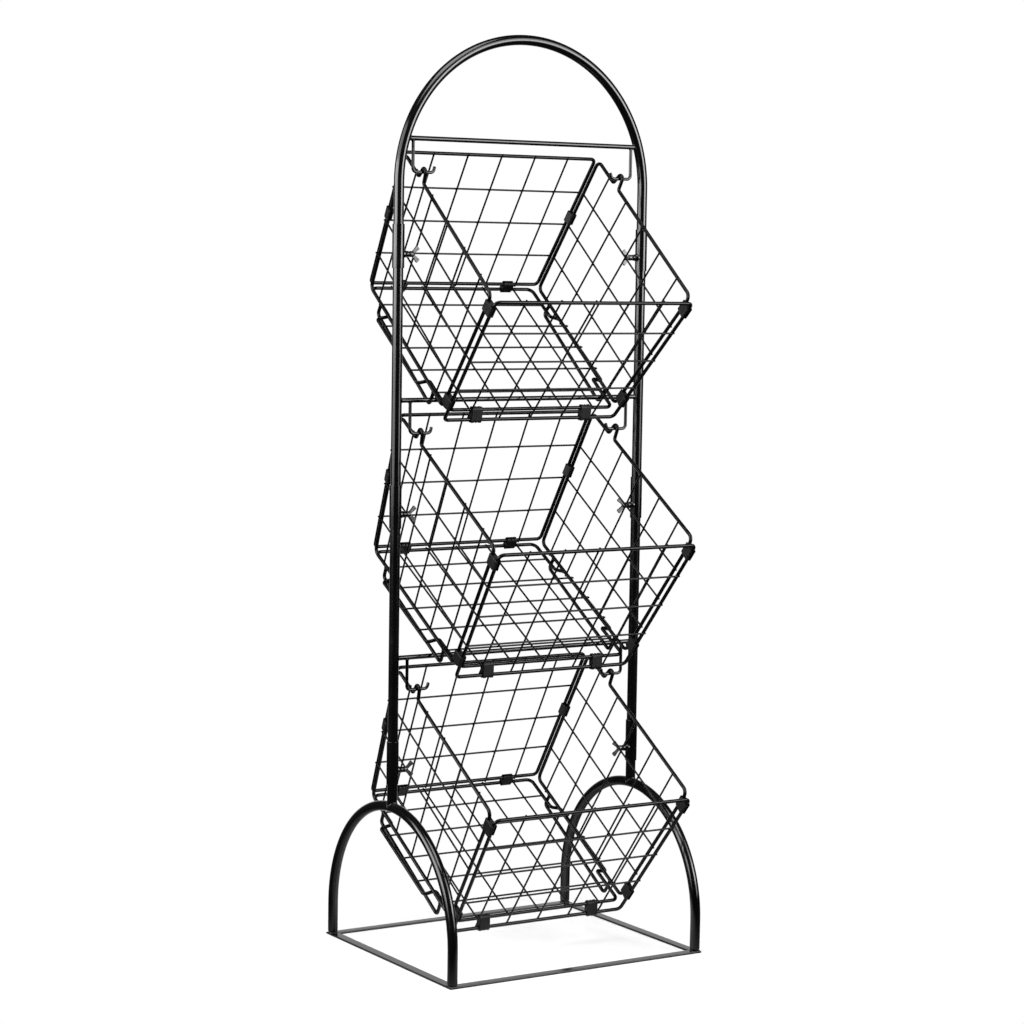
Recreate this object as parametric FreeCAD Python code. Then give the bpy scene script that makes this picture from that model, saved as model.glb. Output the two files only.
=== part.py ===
"""Tiered wire basket: a knock-down tube stand with three wire baskets hung on hooks.

Millimetres. +X is the stand's right, +Y its back, +Z up. The origin is the bottom centre of
the whole object's box, on the floor.
"""
import FreeCAD, Part
import math
import os

from FreeCAD import Vector

# Stand tubes
upright_spacing = 356.0
leg_spacing = 300.0
tube_diameter = 12.7
tube_wall = 1.2
leg_crown_height = 192.7
bar_over_spring = 52.9
strip_width = 12.7
strip_thickness = 2.5

# Crossbars, one to a section, each just under the feet of the basket above it
crossbar_diameter = 6.0
foot_clearance = 2.09

# Sleeve joints between the sections
sleeve_length = 53.0
sleeve_wall = 1.1
sleeve_rise = 29.0
sleeve_drop = 156.2
sleeve_lap = 30.0
slide_clearance = 0.05
weld_gap = 0.05

# Boss and wing screw on each sleeve
boss_height = 17.0
boss_length = 7.0
boss_base_diameter = 10.5
boss_tip_diameter = 6.6
boss_sink = 1.0
screw_diameter = 5.0
screw_tip_gap = 0.3
hub_gap = 1.0
hub_length = 5.5
hub_diameter = 7.4
wing_width = 6.2
wing_thickness = 2.2
wing_span = 20.0
wing_reach = 29.0

# Hooks under each crossbar
hook_wire_diameter = 4.0
hook_drop = 40.5
hook_arch_gap = 2.295
hook_run = 28.5
hook_tip_rise = 7.5
hook_tip_lean = 2.0
hook_bend_radius = 5.0

# Basket wires
rail_diameter = 4.6
grid_diameter = 2.4
grid_sink = 0.1
nub_length = 0.8
grid_count = 5
row_count = 3

# Basket walls: places at the datum height and how far they flare by the flare height
flare_height = 196.0
basket_room = 53.0
half_width_flare = 16.2
back_depth_foot = 122.4
back_depth_flare = 18.0
front_depth_foot = 125.2
front_depth_flare = 17.5

# Back and front panels
end_rail_drop = 2.0
back_foot_height = 2.7
front_foot_height = -6.8
end_bend_radius = 6.0
grid_top_pitch = 49.3
grid_foot_pitch = 45.5
row_drop = 51.0
row_pitch = 48.9

# Side panels, with the hump that hangs on the hook
side_offset = 1.2
side_back_gap = 6.0
side_front_gap = 11.3
side_rail_height = 198.4
side_back_foot_height = 0.5
side_front_foot_height = 6.6
side_bend_radius = 8.0
hinge_depth = 82.5
hump_rise = 12.1
hang_gap = 0.3
hump_leg_angle = 13.0
hump_bend_radius = 3.5

# Feet under the side panels
foot_low_height = -15.4
foot_back_place = 83.0
foot_front_place = 86.3
foot_bend_radius = 5.0

# Floor panel, with a tab each side that passes over the foot
floor_side_gap = 4.5
floor_back_gap = 0.8
floor_front_gap = 6.9
floor_back_height = -6.5
floor_front_height = 4.1
floor_bend_radius = 8.0
tab_reach = 16.0
tab_back_place = 65.0
tab_front_place = 62.0
tab_drop = 4.0
tab_bend_radius = 4.0
floor_pitch_across = 45.3
floor_pitch_along = 43.5
floor_grid_shift = 3.5

# Clips that join the panels
clip_length = 15.0
clip_wall = 1.9
clip_clearance = 0.15
clip_mouth_share = 0.7
edge_clip_place = 80.0
back_clip_height = 110.0
front_clip_drop = 15.4
front_clip_low_height = 21.0

# Tilt of a basket that hangs free, in degrees
hang_tilt = 32.2

TIERS = ("lower", "middle", "upper")
SIDES = (("left", -1), ("right", 1))

# Sizes that follow from the ones above
half_spacing = upright_spacing / 2
half_leg_spacing = leg_spacing / 2
tube_radius = tube_diameter / 2
rail_radius = rail_diameter / 2
grid_radius = grid_diameter / 2
grid_offset = grid_radius - grid_sink / 2
nub_reach = rail_radius + nub_length
leg_spring_height = leg_crown_height - half_leg_spacing
sleeve_bore = tube_diameter + slide_clearance * 2
sleeve_diameter = sleeve_bore + sleeve_wall * 2
# Where the upper crossbar meets the bent arch, the arch leaves the hooks the least room.
arch_reach = math.sqrt(half_spacing ** 2 - bar_over_spring ** 2)
arch_inner_reach = math.sqrt((half_spacing - tube_radius) ** 2 - bar_over_spring ** 2)
hook_place = arch_inner_reach - hook_arch_gap - hook_wire_diameter / 2
hump_radius = hook_wire_diameter / 2 + hang_gap + rail_radius
half_width_foot = half_spacing - basket_room
end_rail_height = side_rail_height - end_rail_drop
hinge_height = side_rail_height + hump_rise
front_clip_top_height = end_rail_height - front_clip_drop
floor_half_width = half_width_foot - floor_side_gap
floor_back_place = back_depth_foot + floor_back_gap
floor_front_place = front_depth_foot - floor_front_gap
foot_to_bar = rail_radius + foot_clearance + crossbar_diameter / 2
bar_drop = (hinge_height - foot_low_height + foot_to_bar) / math.cos(math.radians(hang_tilt))
tier_pitch = hook_drop + bar_drop
lower_crossbar_height = leg_crown_height + sleeve_rise + sleeve_drop
arch_spring_height = lower_crossbar_height + tier_pitch * (len(TIERS) - 1) - bar_over_spring
arch_crown_height = arch_spring_height + half_spacing
bar_stand_off = crossbar_diameter / 2 + hang_gap + rail_radius
# The upper basket is parked: its feet stand just behind the crossbar below it.
parked_tilt = math.degrees(math.asin((hinge_depth + foot_front_place + bar_stand_off) / bar_drop))

X_AXIS = Vector(1, 0, 0)
Z_AXIS = Vector(0, 0, 1)
nodes = {}


def rod(start, end, diameter):
    """A straight round bar between two points."""
    run = end - start
    return Part.makeCylinder(diameter / 2, run.Length, start, run)


def tube(start, end, diameter, wall):
    """A straight round tube, open at both ends."""
    return rod(start, end, diameter).cut(rod(start, end, diameter - wall * 2))


def overrun_rod(start, end, diameter, overrun):
    """A round bar that runs past both of its points."""
    step = (end - start).normalize() * overrun
    return rod(start - step, end + step, diameter)


def rounded_corner(before, corner, after, radius):
    """The two tangent points and the middle point of a bend."""
    to_before = (before - corner).normalize()
    to_after = (after - corner).normalize()
    half = to_before.getAngle(to_after) / 2
    reach = radius / math.tan(half)
    middle = (to_before + to_after).normalize()
    inset = radius / math.sin(half) - radius
    return corner + to_before * reach, corner + middle * inset, corner + to_after * reach


def bent_path(corners, radii, closed):
    """Edges of a path of straight runs with a round bend at each corner.

    An open path starts and ends at its first and last points.
    """
    count = len(corners)
    turns = []
    for index in range(count) if closed else range(1, count - 1):
        after = corners[(index + 1) % count]
        turns.append(rounded_corner(corners[index - 1], corners[index], after, radii[index]))
    here = turns[-1][-1] if closed else corners[0]
    edges = []
    for entry, middle, leave in turns:
        edges.append(Part.LineSegment(here, entry).toShape())
        edges.append(Part.Arc(entry, middle, leave).toShape())
        here = leave
    if not closed:
        edges.append(Part.LineSegment(here, corners[-1]).toShape())
    return edges


def swept(edges, diameter):
    """A round bar along a path: a cylinder for each run and part of a ring for each bend."""
    pieces = []
    for edge in edges:
        start = edge.valueAt(edge.FirstParameter)
        end = edge.valueAt(edge.LastParameter)
        if isinstance(edge.Curve, Part.Line):
            pieces.append(rod(start, end, diameter))
        else:
            heading = edge.tangentAt(edge.FirstParameter)
            disc = Part.Face(Part.Wire(Part.makeCircle(diameter / 2, start, heading)))
            turn = math.degrees(edge.LastParameter - edge.FirstParameter)
            pieces.append(disc.revolve(edge.Curve.Center, edge.Curve.Axis, turn))
    return pieces[0].multiFuse(pieces[1:])


def bent_rod(corners, radii, diameter, closed=False):
    """A round bar bent along a path."""
    return swept(bent_path(corners, radii, closed), diameter)


def arch_path(foot, spring, crown):
    """A half-round arch on two straight legs, from its left or front foot to the other."""
    far_spring = Vector(-spring.x, -spring.y, spring.z)
    far_foot = Vector(-foot.x, -foot.y, foot.z)
    return [
        Part.LineSegment(foot, spring).toShape(),
        Part.Arc(spring, crown, far_spring).toShape(),
        Part.LineSegment(far_spring, far_foot).toShape(),
    ]


def crossbar_height(level):
    """Height of a section's crossbar, counted from the lowest."""
    return lower_crossbar_height + level * tier_pitch


def sleeve_foot(level):
    """Height of the lower end of a section's sleeves."""
    return crossbar_height(level) - sleeve_drop


def section_foot(level):
    """Height where a section's tubes stand on the tubes below."""
    return sleeve_foot(level) + sleeve_lap


def top_arch(diameter):
    """The upper section's bent bar, solid, at the given diameter."""
    foot = Vector(-half_spacing, 0, section_foot(len(TIERS) - 1))
    spring = Vector(-half_spacing, 0, arch_spring_height)
    return swept(arch_path(foot, spring, Vector(0, 0, arch_crown_height)), diameter)


def leg_arch(diameter):
    """A leg arch in the stand's middle plane, solid, at the given diameter."""
    foot = Vector(0, -half_leg_spacing, strip_thickness)
    spring = Vector(0, -half_leg_spacing, leg_spring_height)
    return swept(arch_path(foot, spring, Vector(0, 0, leg_crown_height)), diameter)


def make_base():
    """Leg arches, floor strips and the posts that carry the lower section."""
    arch = leg_arch(tube_diameter).cut(leg_arch(tube_diameter - tube_wall * 2))
    seat = leg_arch(tube_diameter + weld_gap * 2)
    post = tube(Vector(0, 0, leg_crown_height), Vector(0, 0, section_foot(0)), tube_diameter, tube_wall)
    post = post.cut(seat)
    for side, sign in SIDES:
        place = Vector(sign * half_spacing, 0, 0)
        nodes[f"{side}_leg_arch"] = arch.translated(place)
        nodes[f"{side}_post"] = post.translated(place)
        length = leg_spacing - strip_width
        corner = Vector(place.x - strip_width / 2, -length / 2, 0)
        nodes[f"{side}_strip"] = Part.makeBox(strip_width, length, strip_thickness, corner)
    length = upright_spacing + strip_width
    for name, sign in (("front", -1), ("rear", 1)):
        corner = Vector(-length / 2, sign * half_leg_spacing - strip_width / 2, 0)
        nodes[f"{name}_strip"] = Part.makeBox(length, strip_width, strip_thickness, corner)


def make_sleeve(level, sign):
    """A sleeve with its tapped boss, pointing at the stand's middle."""
    axis = Vector(sign * half_spacing, 0, sleeve_foot(level))
    top = axis + Z_AXIS * sleeve_length
    inward = X_AXIS * -sign
    boss_start = axis + Z_AXIS * boss_height + inward * (sleeve_diameter / 2 - boss_sink)
    cone_length = boss_length + boss_sink
    boss = Part.makeCone(boss_base_diameter / 2, boss_tip_diameter / 2, cone_length, boss_start, inward)
    body = rod(axis, top, sleeve_diameter).fuse(boss)
    body = body.cut(rod(axis, top, sleeve_bore))
    hole_start = axis + Z_AXIS * boss_height
    hole_end = boss_start + inward * (cone_length + boss_sink)
    return body.cut(rod(hole_start, hole_end, screw_diameter + slide_clearance * 2))


def make_wing_screw(level, sign):
    """A wing screw whose tip stands just off the lower tube, with two wings in a V."""
    axis = Vector(sign * half_spacing, 0, sleeve_foot(level) + boss_height)
    inward = X_AXIS * -sign

    def along(distance, rise=0.0):
        return axis + inward * distance + Z_AXIS * rise

    tip = tube_radius + screw_tip_gap
    hub_start = sleeve_diameter / 2 + boss_length + hub_gap
    hub_end = hub_start + hub_length
    shank = rod(along(tip), along(hub_end), screw_diameter)
    hub = rod(along(hub_start), along(hub_end), hub_diameter)
    pieces = [hub]
    half_thickness = Vector(0, wing_thickness / 2, 0)
    wing_radius = wing_width / 2
    for rise_sign in (-1, 1):
        root = along((hub_start + hub_end) / 2)
        end = along(wing_reach - wing_radius, rise_sign * (wing_span / 2 - wing_radius))
        wide = (end - root).cross(half_thickness).normalize() * wing_radius
        corners = [root - wide, end - wide, end + wide, root + wide, root - wide]
        blade = Part.Face(Part.makePolygon([point - half_thickness for point in corners]))
        pieces.append(blade.extrude(half_thickness * 2))
        pieces.append(rod(end - half_thickness, end + half_thickness, wing_width))
    return shank.multiFuse(pieces).removeSplitter()


def make_hook(level, sign, bar_seat):
    """A hook bent from wire: down from the crossbar, inward, and up at the tip."""
    bar = crossbar_height(level)
    run = bar - hook_drop
    end = hook_place - hook_run
    corners = [
        Vector(sign * hook_place, 0, bar),
        Vector(sign * hook_place, 0, run),
        Vector(sign * end, 0, run),
        Vector(sign * (end - hook_tip_lean), 0, run + hook_tip_rise),
    ]
    radii = [0, hook_bend_radius, hook_bend_radius, 0]
    return bent_rod(corners, radii, hook_wire_diameter).cut(bar_seat)


def make_section(level):
    """One section's uprights or arch, crossbar, hooks, sleeves and wing screws."""
    tier = TIERS[level]
    bar = crossbar_height(level)
    crossbar = rod(Vector(-half_spacing, 0, bar), Vector(half_spacing, 0, bar), crossbar_diameter)
    if level == len(TIERS) - 1:
        nodes["upper_arch"] = top_arch(tube_diameter).cut(top_arch(tube_diameter - tube_wall * 2))
        crossbar = rod(Vector(-arch_reach, 0, bar), Vector(arch_reach, 0, bar), crossbar_diameter)
        crossbar = crossbar.cut(top_arch(tube_diameter + weld_gap * 2))
    for side, sign in SIDES:
        foot = Vector(sign * half_spacing, 0, section_foot(level))
        if level < len(TIERS) - 1:
            head = Vector(sign * half_spacing, 0, section_foot(level + 1))
            nodes[f"{side}_{tier}_upright"] = tube(foot, head, tube_diameter, tube_wall)
            crossbar = crossbar.cut(rod(foot, head, tube_diameter + weld_gap * 2))
        nodes[f"{side}_{tier}_sleeve"] = make_sleeve(level, sign)
        nodes[f"{side}_{tier}_wing_screw"] = make_wing_screw(level, sign)
    nodes[f"{tier}_crossbar"] = crossbar
    seat = rod(Vector(-half_spacing, 0, bar), Vector(half_spacing, 0, bar), crossbar_diameter + weld_gap * 2)
    for side, sign in SIDES:
        nodes[f"{side}_{tier}_hook"] = make_hook(level, sign, seat)


def half_width(height):
    """Half the distance between the end panels' side wires at a height."""
    return half_width_foot + half_width_flare * height / flare_height


def back_place(height):
    """Place of the back panel at a height."""
    return back_depth_foot + back_depth_flare * height / flare_height


def front_place(height):
    """Place of the front panel at a height."""
    return -front_depth_foot - front_depth_flare * height / flare_height


def centred(count):
    """Whole steps either side of a middle: -2, -1, 0, 1, 2 for five."""
    return [index - (count - 1) / 2 for index in range(count)]


def end_panel(place, top, foot, outward):
    """A back or front panel: frame wire, uprights inside it and rows outside it."""
    corners = [
        Vector(half_width(top), place(top), top),
        Vector(-half_width(top), place(top), top),
        Vector(-half_width(foot), place(foot), foot),
        Vector(half_width(foot), place(foot), foot),
    ]
    frame = bent_rod(corners, [end_bend_radius] * len(corners), rail_diameter, True)
    slope = Vector(0, place(top) - place(foot), top - foot)
    normal = slope.cross(X_AXIS).normalize()
    if normal.y * outward < 0:
        normal = normal * -1
    wires = []
    for step in centred(grid_count):
        head = Vector(step * grid_top_pitch, place(top), top)
        toe = Vector(step * grid_foot_pitch, place(foot), foot)
        shift = normal * -grid_offset
        wires.append(overrun_rod(head + shift, toe + shift, grid_diameter, nub_reach))
    for row in range(row_count):
        height = top - row_drop - row * row_pitch
        reach = Vector(half_width(height), 0, 0)
        middle = Vector(0, place(height), height) + normal * grid_offset
        wires.append(overrun_rod(middle - reach, middle + reach, grid_diameter, nub_reach))
    return frame.multiFuse(wires)


def side_point(place, height):
    """A point of the right side panel's plane."""
    return Vector(half_width(height) + side_offset, place, height)


def side_back(height):
    """Place of the side panels' back wire at a height."""
    return back_place(height) - side_back_gap


def side_front(height):
    """Place of the side panels' front wire at a height."""
    return front_place(height) + side_front_gap


def side_foot_height(place):
    """Height of the side panels' lower wire at a place between its back and front."""
    back = side_back(side_back_foot_height)
    front = side_front(side_front_foot_height)
    share = (back - place) / (back - front)
    return side_back_foot_height + (side_front_foot_height - side_back_foot_height) * share


def side_panel():
    """The right side panel, whose top wire rises in a hump that hangs on the hook."""
    top = side_rail_height
    back_foot = side_back(side_back_foot_height)
    front_foot = side_front(side_front_foot_height)
    leg_angle = math.radians(hump_leg_angle)
    hump_crown = hinge_height + hump_radius / math.sin(leg_angle)
    hump_half = (hump_crown - top) * math.tan(leg_angle)
    corners = [
        side_point(side_back(top), top),
        side_point(hinge_depth + hump_half, top),
        side_point(hinge_depth, hump_crown),
        side_point(hinge_depth - hump_half, top),
        side_point(side_front(top), top),
        side_point(front_foot, side_front_foot_height),
        side_point(back_foot, side_back_foot_height),
    ]
    bend = side_bend_radius
    radii = [bend, hump_bend_radius, hump_radius, hump_bend_radius, bend, bend, bend]
    frame = bent_rod(corners, radii, rail_diameter, True)
    rise = corners[0] - side_point(side_back(top), 0)
    normal = Vector(0, 1, 0).cross(rise).normalize()
    wires = []
    top_middle = (side_back(top) + side_front(top)) / 2
    foot_middle = (back_foot + front_foot) / 2
    for step in centred(grid_count):
        head = side_point(top_middle + step * grid_top_pitch, top)
        toe_place = foot_middle + step * grid_foot_pitch
        toe = side_point(toe_place, side_foot_height(toe_place))
        shift = normal * -grid_offset
        wires.append(overrun_rod(head + shift, toe + shift, grid_diameter, nub_reach))
    for row in range(row_count):
        height = top - row_drop - row * row_pitch
        shift = normal * grid_offset
        back = side_point(side_back(height), height) + shift
        front = side_point(side_front(height), height) + shift
        wires.append(overrun_rod(back, front, grid_diameter, nub_reach))
    return frame.multiFuse(wires)


def side_foot():
    """The right foot: a wire bent in a U under the side panel's lower wire."""
    corners = [
        side_point(foot_back_place, side_foot_height(foot_back_place)),
        side_point(foot_back_place, foot_low_height),
        side_point(-foot_front_place, foot_low_height),
        side_point(-foot_front_place, side_foot_height(-foot_front_place)),
    ]
    wire = bent_rod(corners, [foot_bend_radius] * len(corners), rail_diameter)
    back = side_point(side_back(side_back_foot_height), side_back_foot_height)
    front = side_point(side_front(side_front_foot_height), side_front_foot_height)
    return wire.cut(rod(back, front, rail_diameter + weld_gap * 2))


def floor_point(across, along):
    """A point of the floor panel's plane."""
    share = (floor_back_place - along) / (floor_back_place + floor_front_place)
    height = floor_back_height + (floor_front_height - floor_back_height) * share
    return Vector(across, along, height)


def floor_panel():
    """The floor panel: frame wire with a tab each side, and a grid of wires."""
    edge = floor_half_width
    tab = floor_half_width + tab_reach
    bend = floor_bend_radius
    drop = Z_AXIS * tab_drop
    right = [
        floor_point(edge, floor_back_place),
        floor_point(edge, tab_back_place),
        floor_point(tab, tab_back_place) - drop,
        floor_point(tab, -tab_front_place) - drop,
        floor_point(edge, -tab_front_place),
        floor_point(edge, -floor_front_place),
    ]
    corners = right + [Vector(-point.x, point.y, point.z) for point in reversed(right)]
    half_radii = [bend] + [tab_bend_radius] * (len(right) - 2) + [bend]
    frame = bent_rod(corners, half_radii * 2, rail_diameter, True)
    shift = Z_AXIS * grid_offset
    wires = []
    for step in centred(grid_count):
        across = step * floor_pitch_across
        back = floor_point(across, floor_back_place) + shift
        front = floor_point(across, -floor_front_place) + shift
        wires.append(overrun_rod(back, front, grid_diameter, nub_reach))
        along = floor_grid_shift + step * floor_pitch_along
        reach = tab if -tab_front_place < along < tab_back_place else edge
        left = floor_point(-reach, along) - shift
        wires.append(overrun_rod(left, floor_point(reach, along) - shift, grid_diameter, nub_reach))
    return frame.multiFuse(wires)


def clip(first, second, heading):
    """A snap clip that holds two parallel wires side by side.

    It is a block with round ends, bored for the wires, with a narrow mouth at each end.
    """
    heading = Vector(heading).normalize()
    second = second - heading * (second - first).dot(heading)
    across = (second - first).normalize()
    sideways = heading.cross(across)
    back = heading * (-clip_length / 2)
    radius = rail_radius + clip_wall
    start = first + back
    end = second + back
    corners = [start + sideways * radius, end + sideways * radius]
    corners += [end - sideways * radius, start - sideways * radius, start + sideways * radius]
    block = Part.Face(Part.makePolygon(corners)).extrude(heading * clip_length)
    bore = rail_diameter + clip_clearance * 2
    mouth = bore * clip_mouth_share / 2
    for wire in (start, end):
        block = block.fuse(rod(wire, wire + heading * clip_length, radius * 2))
    for wire, outward in ((start, across * -1), (end, across)):
        block = block.cut(rod(wire, wire + heading * clip_length, bore))
        gap = [wire + sideways * mouth, wire - sideways * mouth]
        gap += [point + outward * (radius * 2) for point in reversed(gap)]
        slot = Part.Face(Part.makePolygon(gap + gap[:1])).extrude(heading * clip_length)
        block = block.cut(slot)
    return block.removeSplitter()


def edge_clips():
    """Clips along the floor panel's back and front wires."""
    clips = []
    for place in (-edge_clip_place, edge_clip_place):
        back = Vector(place, back_place(back_foot_height), back_foot_height)
        clips.append(clip(back, floor_point(place, floor_back_place), X_AXIS))
        front = Vector(place, front_place(front_foot_height), front_foot_height)
        clips.append(clip(floor_point(place, -floor_front_place), front, X_AXIS))
    return clips


def corner_clips():
    """Clips on the right that join the side panel to the back and front panels."""
    clips = []
    rise = flare_height
    back_heading = Vector(half_width_flare, back_depth_flare, rise)
    front_heading = Vector(half_width_flare, -front_depth_flare, rise)
    height = back_clip_height
    panel = Vector(half_width(height), back_place(height), height)
    clips.append(clip(side_point(side_back(height), height), panel, back_heading))
    for height in (front_clip_top_height, front_clip_low_height):
        panel = Vector(half_width(height), front_place(height), height)
        clips.append(clip(panel, side_point(side_front(height), height), front_heading))
    return clips


def mirrored(shape):
    """The left-hand copy of a right-hand shape."""
    return shape.mirror(Vector(0, 0, 0), X_AXIS)


def basket_pieces():
    """Every piece of one basket, level, in the basket's own frame."""
    side = side_panel()
    foot = side_foot()
    corner = corner_clips()
    return {
        "back_panel": end_panel(back_place, end_rail_height, back_foot_height, 1),
        "front_panel": end_panel(front_place, end_rail_height, front_foot_height, -1),
        "floor_panel": floor_panel(),
        "right_panel": side,
        "left_panel": mirrored(side),
        "feet": Part.makeCompound([foot, mirrored(foot)]),
        "edge_clips": Part.makeCompound(edge_clips()),
        "corner_clips": Part.makeCompound(corner + [mirrored(item) for item in corner]),
    }


def hang_basket(pieces, level):
    """Hang a copy of the basket on a section's hooks, tilted."""
    tier = TIERS[level]
    tilt = parked_tilt if level == len(TIERS) - 1 else hang_tilt
    turn = FreeCAD.Rotation(X_AXIS, tilt)
    hinge = Vector(0, hinge_depth, hinge_height)
    rod_place = Vector(0, 0, crossbar_height(level) - hook_drop)
    pose = FreeCAD.Placement(rod_place - turn.multVec(hinge), turn)
    for name, shape in pieces.items():
        nodes[f"{tier}_basket_{name}"] = shape.transformed(pose.toMatrix())


def solid_of(shape):
    """The shape as one solid, or as a compound of its solids where it has more."""
    solids = shape.Solids
    return solids[0] if len(solids) == 1 else Part.makeCompound(solids)


make_base()
for section in range(len(TIERS)):
    make_section(section)
basket = basket_pieces()
for section in range(len(TIERS)):
    hang_basket(basket, section)

whole = Part.makeCompound([solid_of(shape) for shape in nodes.values()])
box = whole.optimalBoundingBox(False, False)
to_middle = Vector(0, -(box.YMin + box.YMax) / 2, 0)
os.makedirs("parts", exist_ok=True)
for node, shape in nodes.items():
    solid_of(shape).translated(to_middle).exportStep(f"parts/{node}.step")
print("shift to the box's middle", round(to_middle.y, 4))
print("box", round(box.XLength, 2), round(box.YLength, 2), round(box.ZMin, 4), round(box.ZMax, 2))
print("parked tilt", round(parked_tilt, 3))
print("nodes", len(nodes), "solids", len(whole.Solids))
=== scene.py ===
"""Dress a tiered wire basket: a knock-down tube stand with three wire baskets hung on hooks.

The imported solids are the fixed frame. Every tube, wire, clip and screw is made again in finer
form where its solid is, and takes a procedural finish. Sizes in the classes are millimetres,
apart from the studio's, and meshes are metres.
"""

import logging
import math
from collections.abc import Callable, Sequence
from dataclasses import dataclass, field
from enum import Enum
from functools import partial

import bmesh
import bpy
from mathutils import Matrix, Vector


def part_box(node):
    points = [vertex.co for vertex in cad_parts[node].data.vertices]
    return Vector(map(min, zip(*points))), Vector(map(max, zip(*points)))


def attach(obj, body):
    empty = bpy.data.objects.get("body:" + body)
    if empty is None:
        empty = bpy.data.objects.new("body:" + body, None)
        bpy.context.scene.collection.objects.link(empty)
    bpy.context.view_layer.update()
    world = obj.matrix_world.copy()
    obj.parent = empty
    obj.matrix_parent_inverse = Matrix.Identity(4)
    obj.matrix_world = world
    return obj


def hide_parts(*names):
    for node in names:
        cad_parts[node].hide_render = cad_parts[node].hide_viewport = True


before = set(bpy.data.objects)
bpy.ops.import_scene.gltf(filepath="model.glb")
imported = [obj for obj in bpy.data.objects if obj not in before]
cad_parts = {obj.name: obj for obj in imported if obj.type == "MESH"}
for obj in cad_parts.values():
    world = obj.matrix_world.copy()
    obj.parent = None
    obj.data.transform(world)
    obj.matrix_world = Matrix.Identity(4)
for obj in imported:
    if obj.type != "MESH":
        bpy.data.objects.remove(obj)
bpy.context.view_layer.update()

log = logging.getLogger("tiered_basket")

MM = 0.001
X_AXIS = Vector((1, 0, 0))
Y_AXIS = Vector((0, 1, 0))
Z_AXIS = Vector((0, 0, 1))
WHITE = (1.0, 1.0, 1.0, 1.0)

# Points nearer to each other than this become one
JOIN_DISTANCE = 0.002

# The bevel profile of a round edge
ROUND_PROFILE = 0.5

# The uprights' place in depth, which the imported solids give
STAND_DEPTH = sum(corner.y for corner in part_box("left_lower_upright")) / 2 / MM


class Spelled(Enum):
    """A choice that the solids' names spell in lower case."""

    @property
    def word(self) -> str:
        """The choice as the solids spell it."""
        return self.name.lower()


class Side(Spelled):
    """A side of the stand, with its sign along X."""

    LEFT = -1
    RIGHT = 1


class Tier(Spelled):
    """A level of the stand, counted from the lowest."""

    LOWER = 0
    MIDDLE = 1
    UPPER = 2


class Pattern(Enum):
    """A pattern of a finish."""

    GRAIN = "grain"
    CLOUD = "cloud"


def linear(code: str) -> tuple[float, float, float, float]:
    """Turn an sRGB hex colour into linear light.

    Args:
        code: The colour as six hex digits after a hash.

    Returns:
        Red, green, blue and a full alpha.
    """
    parts = [int(code[place:place + 2], 16) / 255 for place in (1, 3, 5)]
    red, green, blue = [p / 12.92 if p <= 0.04045 else ((p + 0.055) / 1.055) ** 2.4 for p in parts]
    return red, green, blue, 1.0


def per_metre(spacing: float) -> float:
    """The texture scale whose features lie that many millimetres apart."""
    return 1 / (spacing * MM)


def add_node(tree: bpy.types.NodeTree, kind: str, inputs: dict[str | int, object] | None = None,
             **settings: object) -> bpy.types.Node:
    """Add a node with its settings, and fill or link its inputs.

    Args:
        tree: The tree that takes the node.
        kind: The node's type name.
        inputs: A value, or a socket to link from, for each input's name or index.
        **settings: The node's own properties.

    Returns:
        The new node.
    """
    node = tree.nodes.new(kind)
    for name, value in settings.items():
        setattr(node, name, value)
    for key, value in (inputs or {}).items():
        if isinstance(value, bpy.types.NodeSocket):
            tree.links.new(value, node.inputs[key])
        else:
            node.inputs[key].default_value = value
    return node


def new_material(name: str) -> tuple[bpy.types.Material, bpy.types.NodeTree]:
    """Make a material with an empty node tree.

    Args:
        name: The material's name.

    Returns:
        The material and its tree.
    """
    material = bpy.data.materials.new(name)
    material.use_nodes = True
    material.node_tree.nodes.clear()
    return material, material.node_tree


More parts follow.
